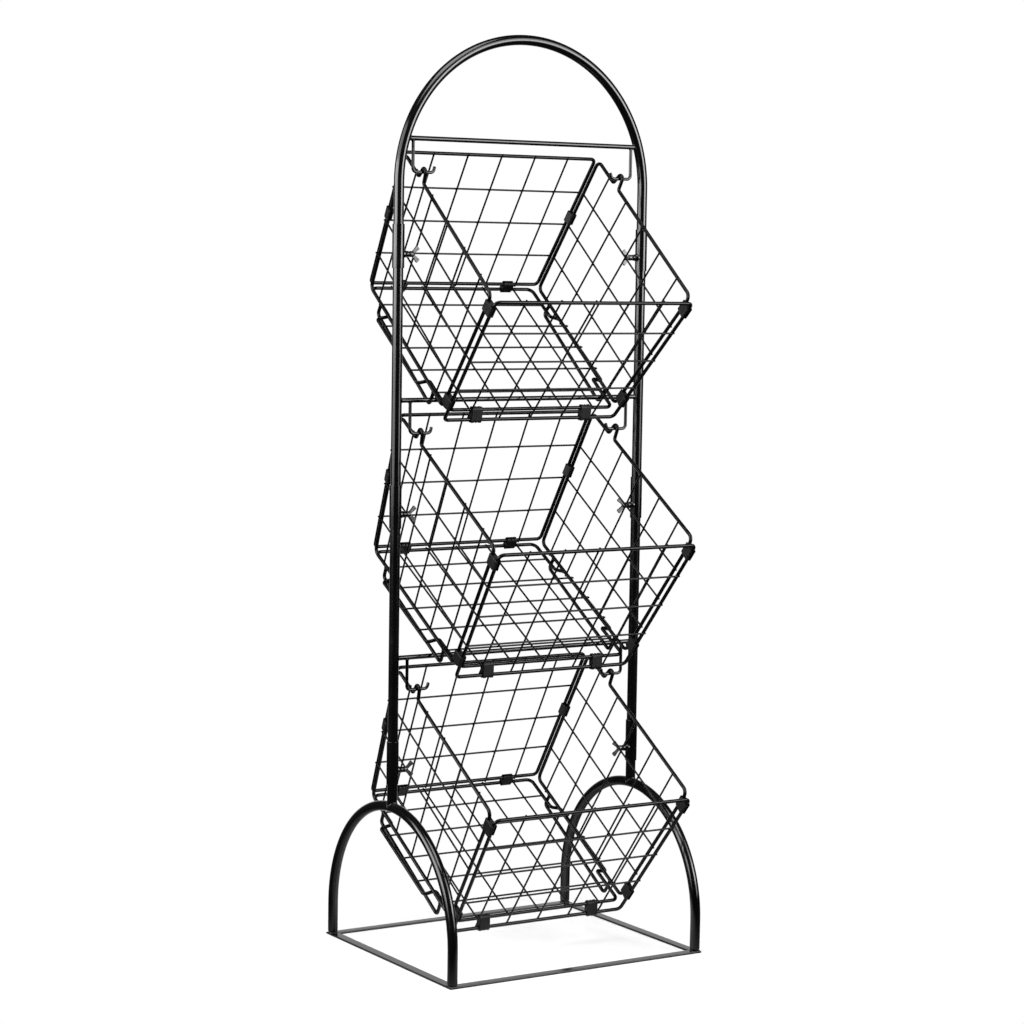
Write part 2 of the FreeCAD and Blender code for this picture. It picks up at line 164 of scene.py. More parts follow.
@dataclass(frozen=True)
class Finish:
    """A surface with a fine raised grain, and a slow cloud that shifts its colour.

    The shade runs from deep to pale between two values of the cloud, and the roughness from low
    to high between two values of the gloss pattern.
    """

    name: str
    slot: str
    deep: str
    pale: str
    shade_start: float
    shade_end: float
    roughness_low: float
    roughness_high: float
    grain_spacing: float
    grain_detail: float
    grain_roughness: float
    grain_height: float
    grain_strength: float
    cloud_spacing: float
    cloud_detail: float
    cloud_roughness: float
    gloss_pattern: Pattern = Pattern.CLOUD
    gloss_start: float = 0.3
    gloss_end: float = 0.7
    specular: float = 0.5
    metallic: float = 0.0

    def material(self) -> bpy.types.Material:
        """Make the finish's node material.

        Returns:
            The material.
        """
        material, tree = new_material(self.name)
        place = add_node(tree, "ShaderNodeTexCoord").outputs["Object"]
        grain = add_node(tree, "ShaderNodeTexNoise", {
            "Vector": place, "Scale": per_metre(self.grain_spacing),
            "Detail": self.grain_detail, "Roughness": self.grain_roughness})
        cloud = add_node(tree, "ShaderNodeTexNoise", {
            "Vector": place, "Scale": per_metre(self.cloud_spacing),
            "Detail": self.cloud_detail, "Roughness": self.cloud_roughness})
        shade = add_node(tree, "ShaderNodeValToRGB", {"Fac": cloud.outputs["Fac"]})
        low, high = shade.color_ramp.elements
        low.position, high.position = self.shade_start, self.shade_end
        low.color, high.color = linear(self.deep), linear(self.pale)
        gloss = grain if self.gloss_pattern is Pattern.GRAIN else cloud
        rough = add_node(tree, "ShaderNodeMapRange", {
            "Value": gloss.outputs["Fac"], "From Min": self.gloss_start, "From Max": self.gloss_end,
            "To Min": self.roughness_low, "To Max": self.roughness_high})
        bump = add_node(tree, "ShaderNodeBump", {
            "Height": grain.outputs["Fac"], "Strength": self.grain_strength,
            "Distance": self.grain_height * MM})
        shader = add_node(tree, "ShaderNodeBsdfPrincipled", {
            "Base Color": shade.outputs["Color"], "Roughness": rough.outputs["Result"],
            "Normal": bump.outputs["Normal"], "Specular IOR Level": self.specular,
            "Metallic": self.metallic})
        add_node(tree, "ShaderNodeOutputMaterial", {"Surface": shader.outputs["BSDF"]})
        return material


@dataclass(frozen=True)
class PowderCoat(Finish):
    """Polyester powder coat on mild steel, sprayed dry and baked to one closed film.

    The eye sees a deep black with a crisp but slightly rippled gloss, the orange peel of the
    film, and a faint cloud where it cured thicker. The grain is that orange peel.
    """

    deep: str = "#030303"
    pale: str = "#0a0a0b"
    shade_start: float = 0.32
    shade_end: float = 0.72
    roughness_low: float = 0.11
    roughness_high: float = 0.19
    grain_spacing: float = 2.4
    grain_detail: float = 2.0
    grain_roughness: float = 0.4
    grain_height: float = 0.02
    grain_strength: float = 0.35
    cloud_spacing: float = 55.0
    cloud_detail: float = 3.0
    cloud_roughness: float = 0.55


@dataclass(frozen=True)
class ClipPlastic(Finish):
    """Polypropylene moulded in a spark-eroded tool.

    The eye sees a dull black with a fine even grain and slightly paler, worn high spots. The
    grain is drawn coarser than life, so that it shows.
    """

    name: str = "moulded_polypropylene_black"
    slot: str = "clip_plastic"
    deep: str = "#060606"
    pale: str = "#111111"
    shade_start: float = 0.35
    shade_end: float = 0.75
    roughness_low: float = 0.42
    roughness_high: float = 0.62
    grain_spacing: float = 0.9
    grain_detail: float = 3.0
    grain_roughness: float = 0.6
    grain_height: float = 0.05
    grain_strength: float = 0.5
    cloud_spacing: float = 9.0
    cloud_detail: float = 2.0
    cloud_roughness: float = 0.5
    gloss_pattern: Pattern = Pattern.GRAIN
    specular: float = 0.3


@dataclass(frozen=True)
class PlatedSteel(Finish):
    """Zinc plate on a cold-formed steel screw, passivated.

    The eye sees a mid-grey metal, cloudy where the bath left it thicker, with a fine satin grain.
    The grain is drawn coarser than life, so that it shows.
    """

    name: str = "zinc_plated_steel"
    slot: str = "screw_metal"
    deep: str = "#3c3d3f"
    pale: str = "#6c6e71"
    shade_start: float = 0.3
    shade_end: float = 0.7
    roughness_low: float = 0.30
    roughness_high: float = 0.48
    grain_spacing: float = 0.6
    grain_detail: float = 2.0
    grain_roughness: float = 0.6
    grain_height: float = 0.03
    grain_strength: float = 0.3
    cloud_spacing: float = 6.0
    cloud_detail: float = 3.0
    cloud_roughness: float = 0.6
    metallic: float = 1.0


def new_tree(name: str, inputs: Sequence[tuple[str, str]]) -> tuple[bpy.types.NodeTree, bpy.types.Node]:
    """Start a Geometry Nodes tree with its named inputs and one geometry output.

    Args:
        name: The tree's name.
        inputs: Each input's name and socket type.

    Returns:
        The tree and its group input node.
    """
    tree = bpy.data.node_groups.new(name, "GeometryNodeTree")
    for label, kind in inputs:
        tree.interface.new_socket(label, in_out="INPUT", socket_type=kind)
    tree.interface.new_socket("Geometry", in_out="OUTPUT", socket_type="NodeSocketGeometry")
    return tree, add_node(tree, "NodeGroupInput")


def end_tree(tree: bpy.types.NodeTree, geometry: bpy.types.NodeSocket, finish: bpy.types.NodeSocket) -> None:
    """End a tree with real geometry that carries its finish.

    Args:
        tree: The tree to end.
        geometry: The socket that gives the geometry.
        finish: The socket that gives the material.
    """
    real = add_node(tree, "GeometryNodeRealizeInstances", {"Geometry": geometry})
    dressed = add_node(tree, "GeometryNodeSetMaterial", {
        "Geometry": real.outputs["Geometry"], "Material": finish})
    add_node(tree, "NodeGroupOutput", {"Geometry": dressed.outputs["Geometry"]})


def wire_tree() -> bpy.types.NodeTree:
    """Make the tree that turns edge paths into round wire, with weld spots at marked points.

    A path's corners are rounded by the radius in their bend attribute, and the wire is as thick
    as their gauge attribute says. A loose point with a spot attribute gets a weld of that size.

    Returns:
        The tree.
    """
    tree, given = new_tree("bent_wire", (
        ("Geometry", "NodeSocketGeometry"), ("Wire Sides", "NodeSocketInt"),
        ("Bend Steps", "NodeSocketInt"), ("Weld Sides", "NodeSocketInt"),
        ("Weld Rings", "NodeSocketInt"), ("Join Distance", "NodeSocketFloat"),
        ("Finish", "NodeSocketMaterial")))
    sketch = given.outputs["Geometry"]
    near = given.outputs["Join Distance"]
    marks = {}
    for name, kind in (("bend", "FLOAT"), ("gauge", "FLOAT"), ("spot", "FLOAT_VECTOR"),
                       ("facing", "FLOAT_VECTOR")):
        reader = add_node(tree, "GeometryNodeInputNamedAttribute", {"Name": name}, data_type=kind)
        marks[name] = reader.outputs["Attribute"]
    route = add_node(tree, "GeometryNodeMeshToCurve", {"Mesh": sketch})
    bent = add_node(tree, "GeometryNodeFilletCurve", {
        "Curve": route.outputs["Curve"], "Count": given.outputs["Bend Steps"],
        "Radius": marks["bend"], "Limit Radius": True}, mode="POLY")
    line = add_node(tree, "GeometryNodeCurveToMesh", {"Curve": bent.outputs["Curve"]})
    clean = add_node(tree, "GeometryNodeMergeByDistance", {
        "Geometry": line.outputs["Mesh"], "Distance": near})
    path = add_node(tree, "GeometryNodeMeshToCurve", {"Mesh": clean.outputs["Geometry"]})
    section = add_node(tree, "GeometryNodeCurvePrimitiveCircle", {
        "Resolution": given.outputs["Wire Sides"], "Radius": 1.0}, mode="RADIUS")
    wire = add_node(tree, "GeometryNodeCurveToMesh", {
        "Curve": path.outputs["Curve"], "Profile Curve": section.outputs["Curve"],
        "Scale": marks["gauge"]})
    closed = add_node(tree, "GeometryNodeMergeByDistance", {
        "Geometry": wire.outputs["Mesh"], "Distance": near})
    size = add_node(tree, "ShaderNodeVectorMath", {0: marks["spot"]}, operation="LENGTH")
    marked = add_node(tree, "FunctionNodeCompare", {
        "A": size.outputs["Value"], "B": 0.0}, operation="GREATER_THAN")
    lump = add_node(tree, "GeometryNodeMeshUVSphere", {
        "Segments": given.outputs["Weld Sides"], "Rings": given.outputs["Weld Rings"], "Radius": 1.0})
    turn = add_node(tree, "FunctionNodeAlignRotationToVector", {"Vector": marks["facing"]}, axis="Z")
    welds = add_node(tree, "GeometryNodeInstanceOnPoints", {
        "Points": sketch, "Selection": marked.outputs["Result"], "Instance": lump.outputs["Mesh"],
        "Rotation": turn.outputs["Rotation"], "Scale": marks["spot"]})
    whole = add_node(tree, "GeometryNodeJoinGeometry")
    tree.links.new(closed.outputs["Geometry"], whole.inputs["Geometry"])
    tree.links.new(welds.outputs["Instances"], whole.inputs["Geometry"])
    smooth = add_node(tree, "GeometryNodeSetShadeSmooth", {"Geometry": whole.outputs["Geometry"]})
    end_tree(tree, smooth.outputs["Geometry"], given.outputs["Finish"])
    return tree


def place_tree() -> bpy.types.NodeTree:
    """Make the tree that sets a copy of a piece on each point, turned by the point's turn attribute.

    Returns:
        The tree.
    """
    tree, given = new_tree("placed_copies", (
        ("Geometry", "NodeSocketGeometry"), ("Piece", "NodeSocketObject"), ("Finish", "NodeSocketMaterial")))
    piece = add_node(tree, "GeometryNodeObjectInfo", {"Object": given.outputs["Piece"]})
    reader = add_node(tree, "GeometryNodeInputNamedAttribute", {"Name": "turn"}, data_type="FLOAT_VECTOR")
    turn = add_node(tree, "FunctionNodeEulerToRotation", {"Euler": reader.outputs["Attribute"]})
    copies = add_node(tree, "GeometryNodeInstanceOnPoints", {
        "Points": given.outputs["Geometry"], "Instance": piece.outputs["Geometry"],
        "Rotation": turn.outputs["Rotation"]})
    end_tree(tree, copies.outputs["Instances"], given.outputs["Finish"])
    return tree


def add_object(name: str, data: bpy.types.ID) -> bpy.types.Object:
    """Link a mesh, a light or a camera into the scene at the origin.

    Args:
        name: The object's name.
        data: What it holds.

    Returns:
        The object.
    """
    obj = bpy.data.objects.new(name, data)
    bpy.context.scene.collection.objects.link(obj)
    return obj


def settle(obj: bpy.types.Object) -> bpy.types.Object:
    """Shade an object by its larger faces, and keep what its modifiers make as its plain mesh.

    Args:
        obj: The object, with or without modifiers.

    Returns:
        The same object, with its new mesh and no modifier.
    """
    obj.modifiers.new("even_shading", "WEIGHTED_NORMAL").keep_sharp = True
    bpy.context.view_layer.update()
    depsgraph = bpy.context.evaluated_depsgraph_get()
    made = bpy.data.meshes.new_from_object(obj.evaluated_get(depsgraph))
    obj.modifiers.clear()
    draft = obj.data
    obj.data = made
    bpy.data.meshes.remove(draft)
    made.name = obj.name
    return obj


def grow(obj: bpy.types.Object, tree: bpy.types.NodeTree, values: dict[str, object]) -> bpy.types.Object:
    """Run a Geometry Nodes tree on an object and keep the result as its plain mesh.

    Args:
        obj: The object that holds the points and paths.
        tree: The tree to run.
        values: The tree's named inputs.

    Returns:
        The same object, with its new mesh and no modifier.
    """
    modifier = obj.modifiers.new(tree.name, "NODES")
    modifier.node_group = tree
    for item in tree.interface.items_tree:
        if item.in_out == "INPUT" and item.name in values:
            modifier[item.identifier] = values[item.name]
    made = settle(obj).data
    for name in ("bend", "gauge", "spot", "facing", "turn"):
        extra = made.attributes.get(name)
        if extra:
            made.attributes.remove(extra)
    return obj


def hang_on(piece: bpy.types.Object, body: str, slot: str, *nodes: str) -> None:
    """Make a finished piece ride on a body and stand for its solids.

    Args:
        piece: The piece.
        body: The body that it rides on.
        slot: The name of its finish's slot; not used.
        *nodes: The solids that it stands for.
    """
    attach(piece, body)
    if nodes:
        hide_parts(*nodes)
    log.info("%s rides on %s: %d faces", piece.name, body, len(piece.data.polygons))


@dataclass
class WirePath:
    """A round wire's route: its corner points, and the radius of the bend at each."""

    corners: list[Vector]
    diameter: float
    bends: list[float] = field(default_factory=list)
    closed: bool = False


@dataclass
class WireSketch:
    """The paths and weld spots of one piece, gathered in its own frame and placed by a matrix.

    The end round says how wide a wire is at each step from its end, both as shares of its radius.
    """

    place: Matrix
    end_round: tuple[tuple[float, float], ...] = ((0, 0), (0.03, 0.5), (0.12, 0.78), (0.3, 0.94), (0.55, 1))
    weld_sides: int = 8
    weld_rings: int = 5
    points: list[Vector] = field(default_factory=list)
    edges: list[tuple[int, int]] = field(default_factory=list)
    bends: list[float] = field(default_factory=list)
    gauges: list[float] = field(default_factory=list)
    spots: list[Vector] = field(default_factory=list)
    facings: list[Vector] = field(default_factory=list)

    def add_point(self, point: Vector, bend: float = 0, gauge: float = 0, spot: Vector | None = None,
                  facing: Vector = Z_AXIS) -> None:
        """Keep a point with what the tree reads from it.

        Args:
            point: Where it is, in the piece's own frame.
            bend: The bend's radius there.
            gauge: The wire's radius there.
            spot: The weld's half sizes, for a weld.
            facing: The way the weld faces.
        """
        self.points.append(self.place @ point * MM)
        self.bends.append(bend * MM)
        self.gauges.append(gauge * MM)
        self.spots.append((spot or Vector()) * MM)
        self.facings.append(self.place.to_3x3() @ facing)

    def join_points(self, first: int) -> None:
        """Join the points from the first one on, each to the next."""
        self.edges += [(index, index + 1) for index in range(first, len(self.points) - 1)]

    def wire(self, path: WirePath) -> None:
        """Add a wire. The ends of an open one are rounded off, as the coat leaves them.

        Args:
            path: The wire's route.
        """
        first = len(self.points)
        radius = path.diameter / 2
        corners = path.corners
        if path.closed:
            for corner, bend in zip(corners, path.bends):
                self.add_point(corner, bend, radius)
            self.edges.append((first, first + len(corners) - 1))
        else:
            head = (corners[1] - corners[0]).normalized() * radius
            tail = (corners[-2] - corners[-1]).normalized() * radius
            for step, share in self.end_round:
                self.add_point(corners[0] + head * step, 0, radius * share)
            for corner, bend in zip(corners[1:-1], path.bends[1:-1]):
                self.add_point(corner, bend, radius)
            for step, share in reversed(self.end_round):
                self.add_point(corners[-1] + tail * step, 0, radius * share)
        self.join_points(first)

    def bead(self, ring: list[Vector], radius: float, ripples: int, ripple_share: float) -> None:
        """Add a weld bead round a seam, rippled as the torch leaves it.

        Args:
            ring: Points of the closed seam.
            radius: The bead's radius.
            ripples: How many ripples go round.
            ripple_share: How far a ripple swells, as a share of the radius.
        """
        first = len(self.points)
        for index, point in enumerate(ring):
            swell = math.sin(math.tau * ripples * index / len(ring))
            self.add_point(point, 0, radius * (1 + ripple_share * swell))
        self.join_points(first)
        self.edges.append((first, len(self.points) - 1))

    def weld(self, point: Vector, facing: Vector, width: float, height: float) -> None:
        """Add a weld spot of a half width, and a half height along the way that it faces."""
        self.add_point(point, spot=Vector((width, width, height)), facing=facing)

    def build(self, name: str, tree: bpy.types.NodeTree, finish: bpy.types.Material, sides: int,
              bend_steps: int) -> bpy.types.Object:
        """Grow the sketch into a mesh.

        Args:
            name: The piece's name.
            tree: The wire tree.
            finish: The piece's material.
            sides: How many sides a wire has.
            bend_steps: How many steps a bend has.

        Returns:
            The finished object.
        """
        mesh = bpy.data.meshes.new(name)
        mesh.from_pydata(self.points, self.edges, [])
        for label, values in (("bend", self.bends), ("gauge", self.gauges)):
            mesh.attributes.new(label, "FLOAT", "POINT").data.foreach_set("value", values)
        for label, vectors in (("spot", self.spots), ("facing", self.facings)):
            flat = [number for vector in vectors for number in vector]
            mesh.attributes.new(label, "FLOAT_VECTOR", "POINT").data.foreach_set("vector", flat)
        return grow(add_object(name, mesh), tree, {
            "Wire Sides": sides, "Bend Steps": bend_steps, "Weld Sides": self.weld_sides,
            "Weld Rings": self.weld_rings, "Join Distance": JOIN_DISTANCE * MM, "Finish": finish})


@dataclass
class Bench:
    """What every sub-assembly is made with: the node trees and the finishes."""

    wires: bpy.types.NodeTree = field(default_factory=wire_tree)
    copies: bpy.types.NodeTree = field(default_factory=place_tree)
    frame_coat: Finish = PowderCoat("powder_coat_gloss_black", "frame_coat")
    basket_coat: Finish = PowderCoat(
        "powder_coat_satin_black", "basket_coat", roughness_low=0.16, roughness_high=0.26,
        grain_spacing=1.6, specular=0.2)
    clip_plastic: Finish = ClipPlastic()
    plated_steel: Finish = PlatedSteel()
    made: dict[str, bpy.types.Material] = field(default_factory=dict)

    def material(self, finish: Finish) -> bpy.types.Material:
        """A finish's material, made once.

        Args:
            finish: The finish.

        Returns:
            Its material.
        """
        if finish.name not in self.made:
            self.made[finish.name] = finish.material()
        return self.made[finish.name]

    def hang_wires(self, name: str, sketch: WireSketch, coat: Finish, body: str, nodes: Sequence[str],
                   sides: int, bend_steps: int = 1) -> None:
        """Grow a sketch into wires and hang them on a body.

        Args:
            name: The piece's name.
            sketch: The wires' paths and welds.
            coat: The wires' finish.
            body: The body that they ride on.
            nodes: The solids that they stand for.
            sides: How many sides a wire has.
            bend_steps: How many steps a bend has.
        """
        piece = sketch.build(name, self.wires, self.material(coat), sides, bend_steps)
        hang_on(piece, body, coat.slot, *nodes)

    def hang_copies(self, name: str, mesh: bpy.types.Mesh, places: Sequence[Matrix], finish: Finish,
                    body: str, node: str) -> None:
        """Set copies of a mesh at places in the stand's frame, and hang them on a body as one piece.

        Args:
            name: The piece's name.
            mesh: The mesh to copy, in metres, which is then removed.
            places: A matrix in millimetres for each copy.
            finish: The copies' finish.
            body: The body that they ride on.
            node: The solid that they stand for.
        """
        pattern = add_object(name + "_pattern", mesh)
        points = bpy.data.meshes.new(name)
        points.from_pydata([place.translation * MM for place in places], [], [])
        turns = [number for place in places for number in place.to_euler()]
        points.attributes.new("turn", "FLOAT_VECTOR", "POINT").data.foreach_set("vector", turns)
        values = {"Piece": pattern, "Finish": self.material(finish)}
        piece = grow(add_object(name, points), self.copies, values)
        bpy.data.objects.remove(pattern)
        bpy.data.meshes.remove(mesh)
        hang_on(piece, body, finish.slot, node)


def finish_mesh(shape: bmesh.types.BMesh, name: str, sharp_angle: float = 40.0) -> bpy.types.Mesh:
    """Merge, turn outwards and smooth a shape, and scale it to metres.

    Args:
        shape: The shape in millimetres, which is freed.
        name: The mesh's name.
        sharp_angle: The angle in degrees past which an edge stays sharp.

    Returns:
        The mesh.
    """
    bmesh.ops.remove_doubles(shape, verts=shape.verts, dist=JOIN_DISTANCE)
    bmesh.ops.recalc_face_normals(shape, faces=shape.faces)
    bmesh.ops.scale(shape, verts=shape.verts, vec=Vector((MM, MM, MM)))
    mesh = bpy.data.meshes.new(name)
    shape.to_mesh(mesh)
    shape.free()
    mesh.shade_smooth()
    mesh.set_sharp_from_angle(angle=math.radians(sharp_angle))
    return mesh


def skin(shape: bmesh.types.BMesh, loops: Sequence[Sequence[Vector]],
         ring: bool = False) -> list[list[bmesh.types.BMVert]]:
    """Join closed loops of points by quads, one loop to the next.

    Args:
        shape: The shape that takes the faces.
        loops: Loops with the same number of points.
        ring: Whether the last loop joins the first.

    Returns:
        The loops' vertices.
    """
    rows = [[shape.verts.new(point) for point in loop] for loop in loops]
    pairs = list(zip(rows, rows[1:]))
    if ring:
        pairs.append((rows[-1], rows[0]))
    for low, high in pairs:
        for index in range(len(low)):
            after = (index + 1) % len(low)
            shape.faces.new((low[index], low[after], high[after], high[index]))
    return rows


def lathe(shape: bmesh.types.BMesh, profile: Sequence[tuple[float, float]], place: Matrix, sides: int,
          ring: bool = False) -> None:
    """Spin a profile about an axis.

    Args:
        shape: The shape that takes the faces.
        profile: Radius and height of each point.
        place: Where the axis goes, its Z being the height.
        sides: How many sides the turning has.
        ring: Whether the profile is closed.
    """
    steps = [math.tau * index / sides for index in range(sides)]
    loops = []
    for radius, height in profile:
        loops.append([place @ Vector((radius * math.cos(a), radius * math.sin(a), height)) for a in steps])
    skin(shape, loops, ring)


def sided(side: Side, points: Sequence[Vector]) -> list[Vector]:
    """Right-hand points, or their mirror images on the left."""
    return [Vector((point.x * side.value, point.y, point.z)) for point in points]


@dataclass
class Stand:
    """Sizes that the base and the three sections share."""

    upright_spacing: float = 356.0
    leg_spacing: float = 300.0
    tube_diameter: float = 12.7
    leg_crown_height: float = 192.7
    arch_rise: float = 125.05
    crossbar_diameter: float = 6.0
    sleeve_rise: float = 29.0
    sleeve_drop: float = 156.2
    sleeve_lap: float = 30.0
    hook_drop: float = 40.5
    bar_drop: float = 275.693
    tube_sides: int = 40
    arch_steps: int = 36
    bead_sides: int = 10
    seam_points: int = 48

    @property
    def place(self) -> Matrix:
        """Where the stand's middle plane lies in the frame."""
        return Matrix.Translation((0, STAND_DEPTH, 0))

    @property
    def half_spacing(self) -> float:
        """Half the distance between the uprights."""
        return self.upright_spacing / 2

    @property
    def tube_radius(self) -> float:
        """The tubes' outer radius."""
        return self.tube_diameter / 2

    @property
    def arch_crown(self) -> float:
        """Height of the top arch's middle line at its crown."""
        return self.crossbar(Tier.UPPER) + self.arch_rise

    def crossbar(self, tier: Tier) -> float:
        """Height of a tier's crossbar."""
        lowest = self.leg_crown_height + self.sleeve_rise + self.sleeve_drop
        return lowest + tier.value * (self.hook_drop + self.bar_drop)

    def hook_run(self, tier: Tier) -> float:
        """Height of the hooks' level run, which carries the basket."""
        return self.crossbar(tier) - self.hook_drop

    def sleeve_foot(self, tier: Tier) -> float:
        """Height of the lower end of a tier's sleeves."""
        return self.crossbar(tier) - self.sleeve_drop

    def section_foot(self, tier: Tier) -> float:
        """Height where a tier's tubes stand on the tubes below."""
        return self.sleeve_foot(tier) + self.sleeve_lap

    def upright(self, side: Side, foot: float, head: float) -> WirePath:
        """The path of a side's straight tube between two heights."""
        x = side.value * self.half_spacing
        return WirePath([Vector((x, 0, foot)), Vector((x, 0, head))], self.tube_diameter)

    def arch(self, middle: Vector, across: Vector, foot: float, crown: float) -> WirePath:
        """The path of a tube bent to a half circle between two straight legs.

        Args:
            middle: The point of the floor under the crown.
            across: The way from there to under the second leg.
            foot: Height of the legs' ends.
            crown: Height of the crown.

        Returns:
            The path.
        """
        ends = ((-1, foot), (-1, crown), (1, crown), (1, foot))
        corners = [middle + across * sign + Z_AXIS * height for sign, height in ends]
        return WirePath(corners, self.tube_diameter, [0, across.length, across.length, 0])

    def sketch(self, *paths: WirePath) -> WireSketch:
        """Start a sketch in the stand's middle plane.

        Args:
            *paths: Wires to begin with.

        Returns:
            The sketch.
        """
        sketch = WireSketch(self.place)
        for path in paths:
            sketch.wire(path)
        return sketch

    def around(self, point: Callable[[float, float], Vector], radius: float) -> list[Vector]:
        """Points of a seam round a bar.

        Args:
            point: Gives the seam's point for two coordinates across the bar.
            radius: The bar's radius.

        Returns:
            The seam's points.
        """
        angles = [math.tau * index / self.seam_points for index in range(self.seam_points)]
        return [point(radius * math.cos(angle), radius * math.sin(angle)) for angle in angles]


@dataclass
class Base:
    """The foot of the stand: two leg arches, four floor strips and two posts."""

    stand: Stand
    bench: Bench
    strip_width: float = 12.7
    strip_thickness: float = 2.5
    strip_round: float = 0.7
    strip_round_steps: int = 3
    bead_radius: float = 1.0
    foot_bead_radius: float = 0.8
    ripples: int = 13
    ripple_share: float = 0.14
    body: str = "base"

    def build(self) -> None:
        """Make and dress every piece of the base."""
        for side in Side:
            self.build_tubes(side)
        self.build_strips()
        self.build_beads()

    def build_tubes(self, side: Side) -> None:
        """Make a side's leg arch and the post on its crown.

        Args:
            side: The side.
        """
        stand, bench = self.stand, self.bench
        crown = stand.leg_crown_height
        middle = X_AXIS * (side.value * stand.half_spacing)
        arch = stand.arch(middle, Y_AXIS * (stand.leg_spacing / 2), self.strip_thickness, crown)
        post = stand.upright(side, crown, stand.section_foot(Tier.LOWER))
        for path, node in ((arch, f"{side.word}_leg_arch"), (post, f"{side.word}_post")):
            bench.hang_wires(node + "_tube", stand.sketch(path), bench.frame_coat, self.body, [node],
                             stand.tube_sides, stand.arch_steps)

    def build_strips(self) -> None:
        """Make the four flat strips on the floor, with rolled edges."""
        stand, coat = self.stand, self.bench.frame_coat
        width = self.strip_width
        long = Vector((stand.upright_spacing + width, width, self.strip_thickness))
        short = Vector((width, stand.leg_spacing - width, self.strip_thickness))
        half_depth = Vector((0, stand.leg_spacing / 2, 0))
        half_width = Vector((stand.half_spacing, 0, 0))
        for word, size, middle in (("front", long, -half_depth), ("rear", long, half_depth),
                                   ("left", short, -half_width), ("right", short, half_width)):
            shape = bmesh.new()
            bmesh.ops.create_cube(shape, size=1)
            bmesh.ops.scale(shape, verts=shape.verts, vec=size)
            bmesh.ops.bevel(shape, geom=shape.edges[:], offset=self.strip_round,
                            segments=self.strip_round_steps, profile=ROUND_PROFILE, affect="EDGES")
            move = stand.place.translation + middle + Z_AXIS * (self.strip_thickness / 2)
            bmesh.ops.translate(shape, verts=shape.verts, vec=move)
            name = f"{word}_floor_strip"
            piece = add_object(name, finish_mesh(shape, name))
            piece.data.materials.append(self.bench.material(coat))
            hang_on(settle(piece), self.body, coat.slot, f"{word}_strip")

    def post_seam(self, x: float, across: float, along: float) -> Vector:
        """A point of the seam between a post and the crown of its arch.

        Args:
            x: The post's place across the stand.
            across: The point's place from the post's axis, across the stand.
            along: Its place from there, along the arch.

        Returns:
            The point.
        """
        bend = self.stand.leg_spacing / 2
        reach = bend + math.sqrt(max(self.stand.tube_radius ** 2 - across ** 2, 0))
        spring = self.stand.leg_crown_height - bend
        return Vector((x + across, along, spring + math.sqrt(reach ** 2 - along ** 2)))

    def foot_seam(self, x: float, end: float, across: float, along: float) -> Vector:
        """A point of the seam round an arch's foot at a place across and along the stand."""
        return Vector((x + across, end + along, self.strip_thickness))

    def build_beads(self) -> None:
        """Make the weld beads under the posts and round the arches' feet."""
        stand, bench = self.stand, self.bench
        radius, half = stand.tube_radius, stand.leg_spacing / 2
        within = radius - self.foot_bead_radius / 2
        sketch = stand.sketch()
        for side in Side:
            x = side.value * stand.half_spacing
            ring = stand.around(partial(self.post_seam, x), radius)
            sketch.bead(ring, self.bead_radius, self.ripples, self.ripple_share)
            for end in (-half, half):
                ring = stand.around(partial(self.foot_seam, x, end), within)
                sketch.bead(ring, self.foot_bead_radius, self.ripples, self.ripple_share)
        bench.hang_wires("base_weld_beads", sketch, bench.frame_coat, self.body, [], stand.bead_sides)


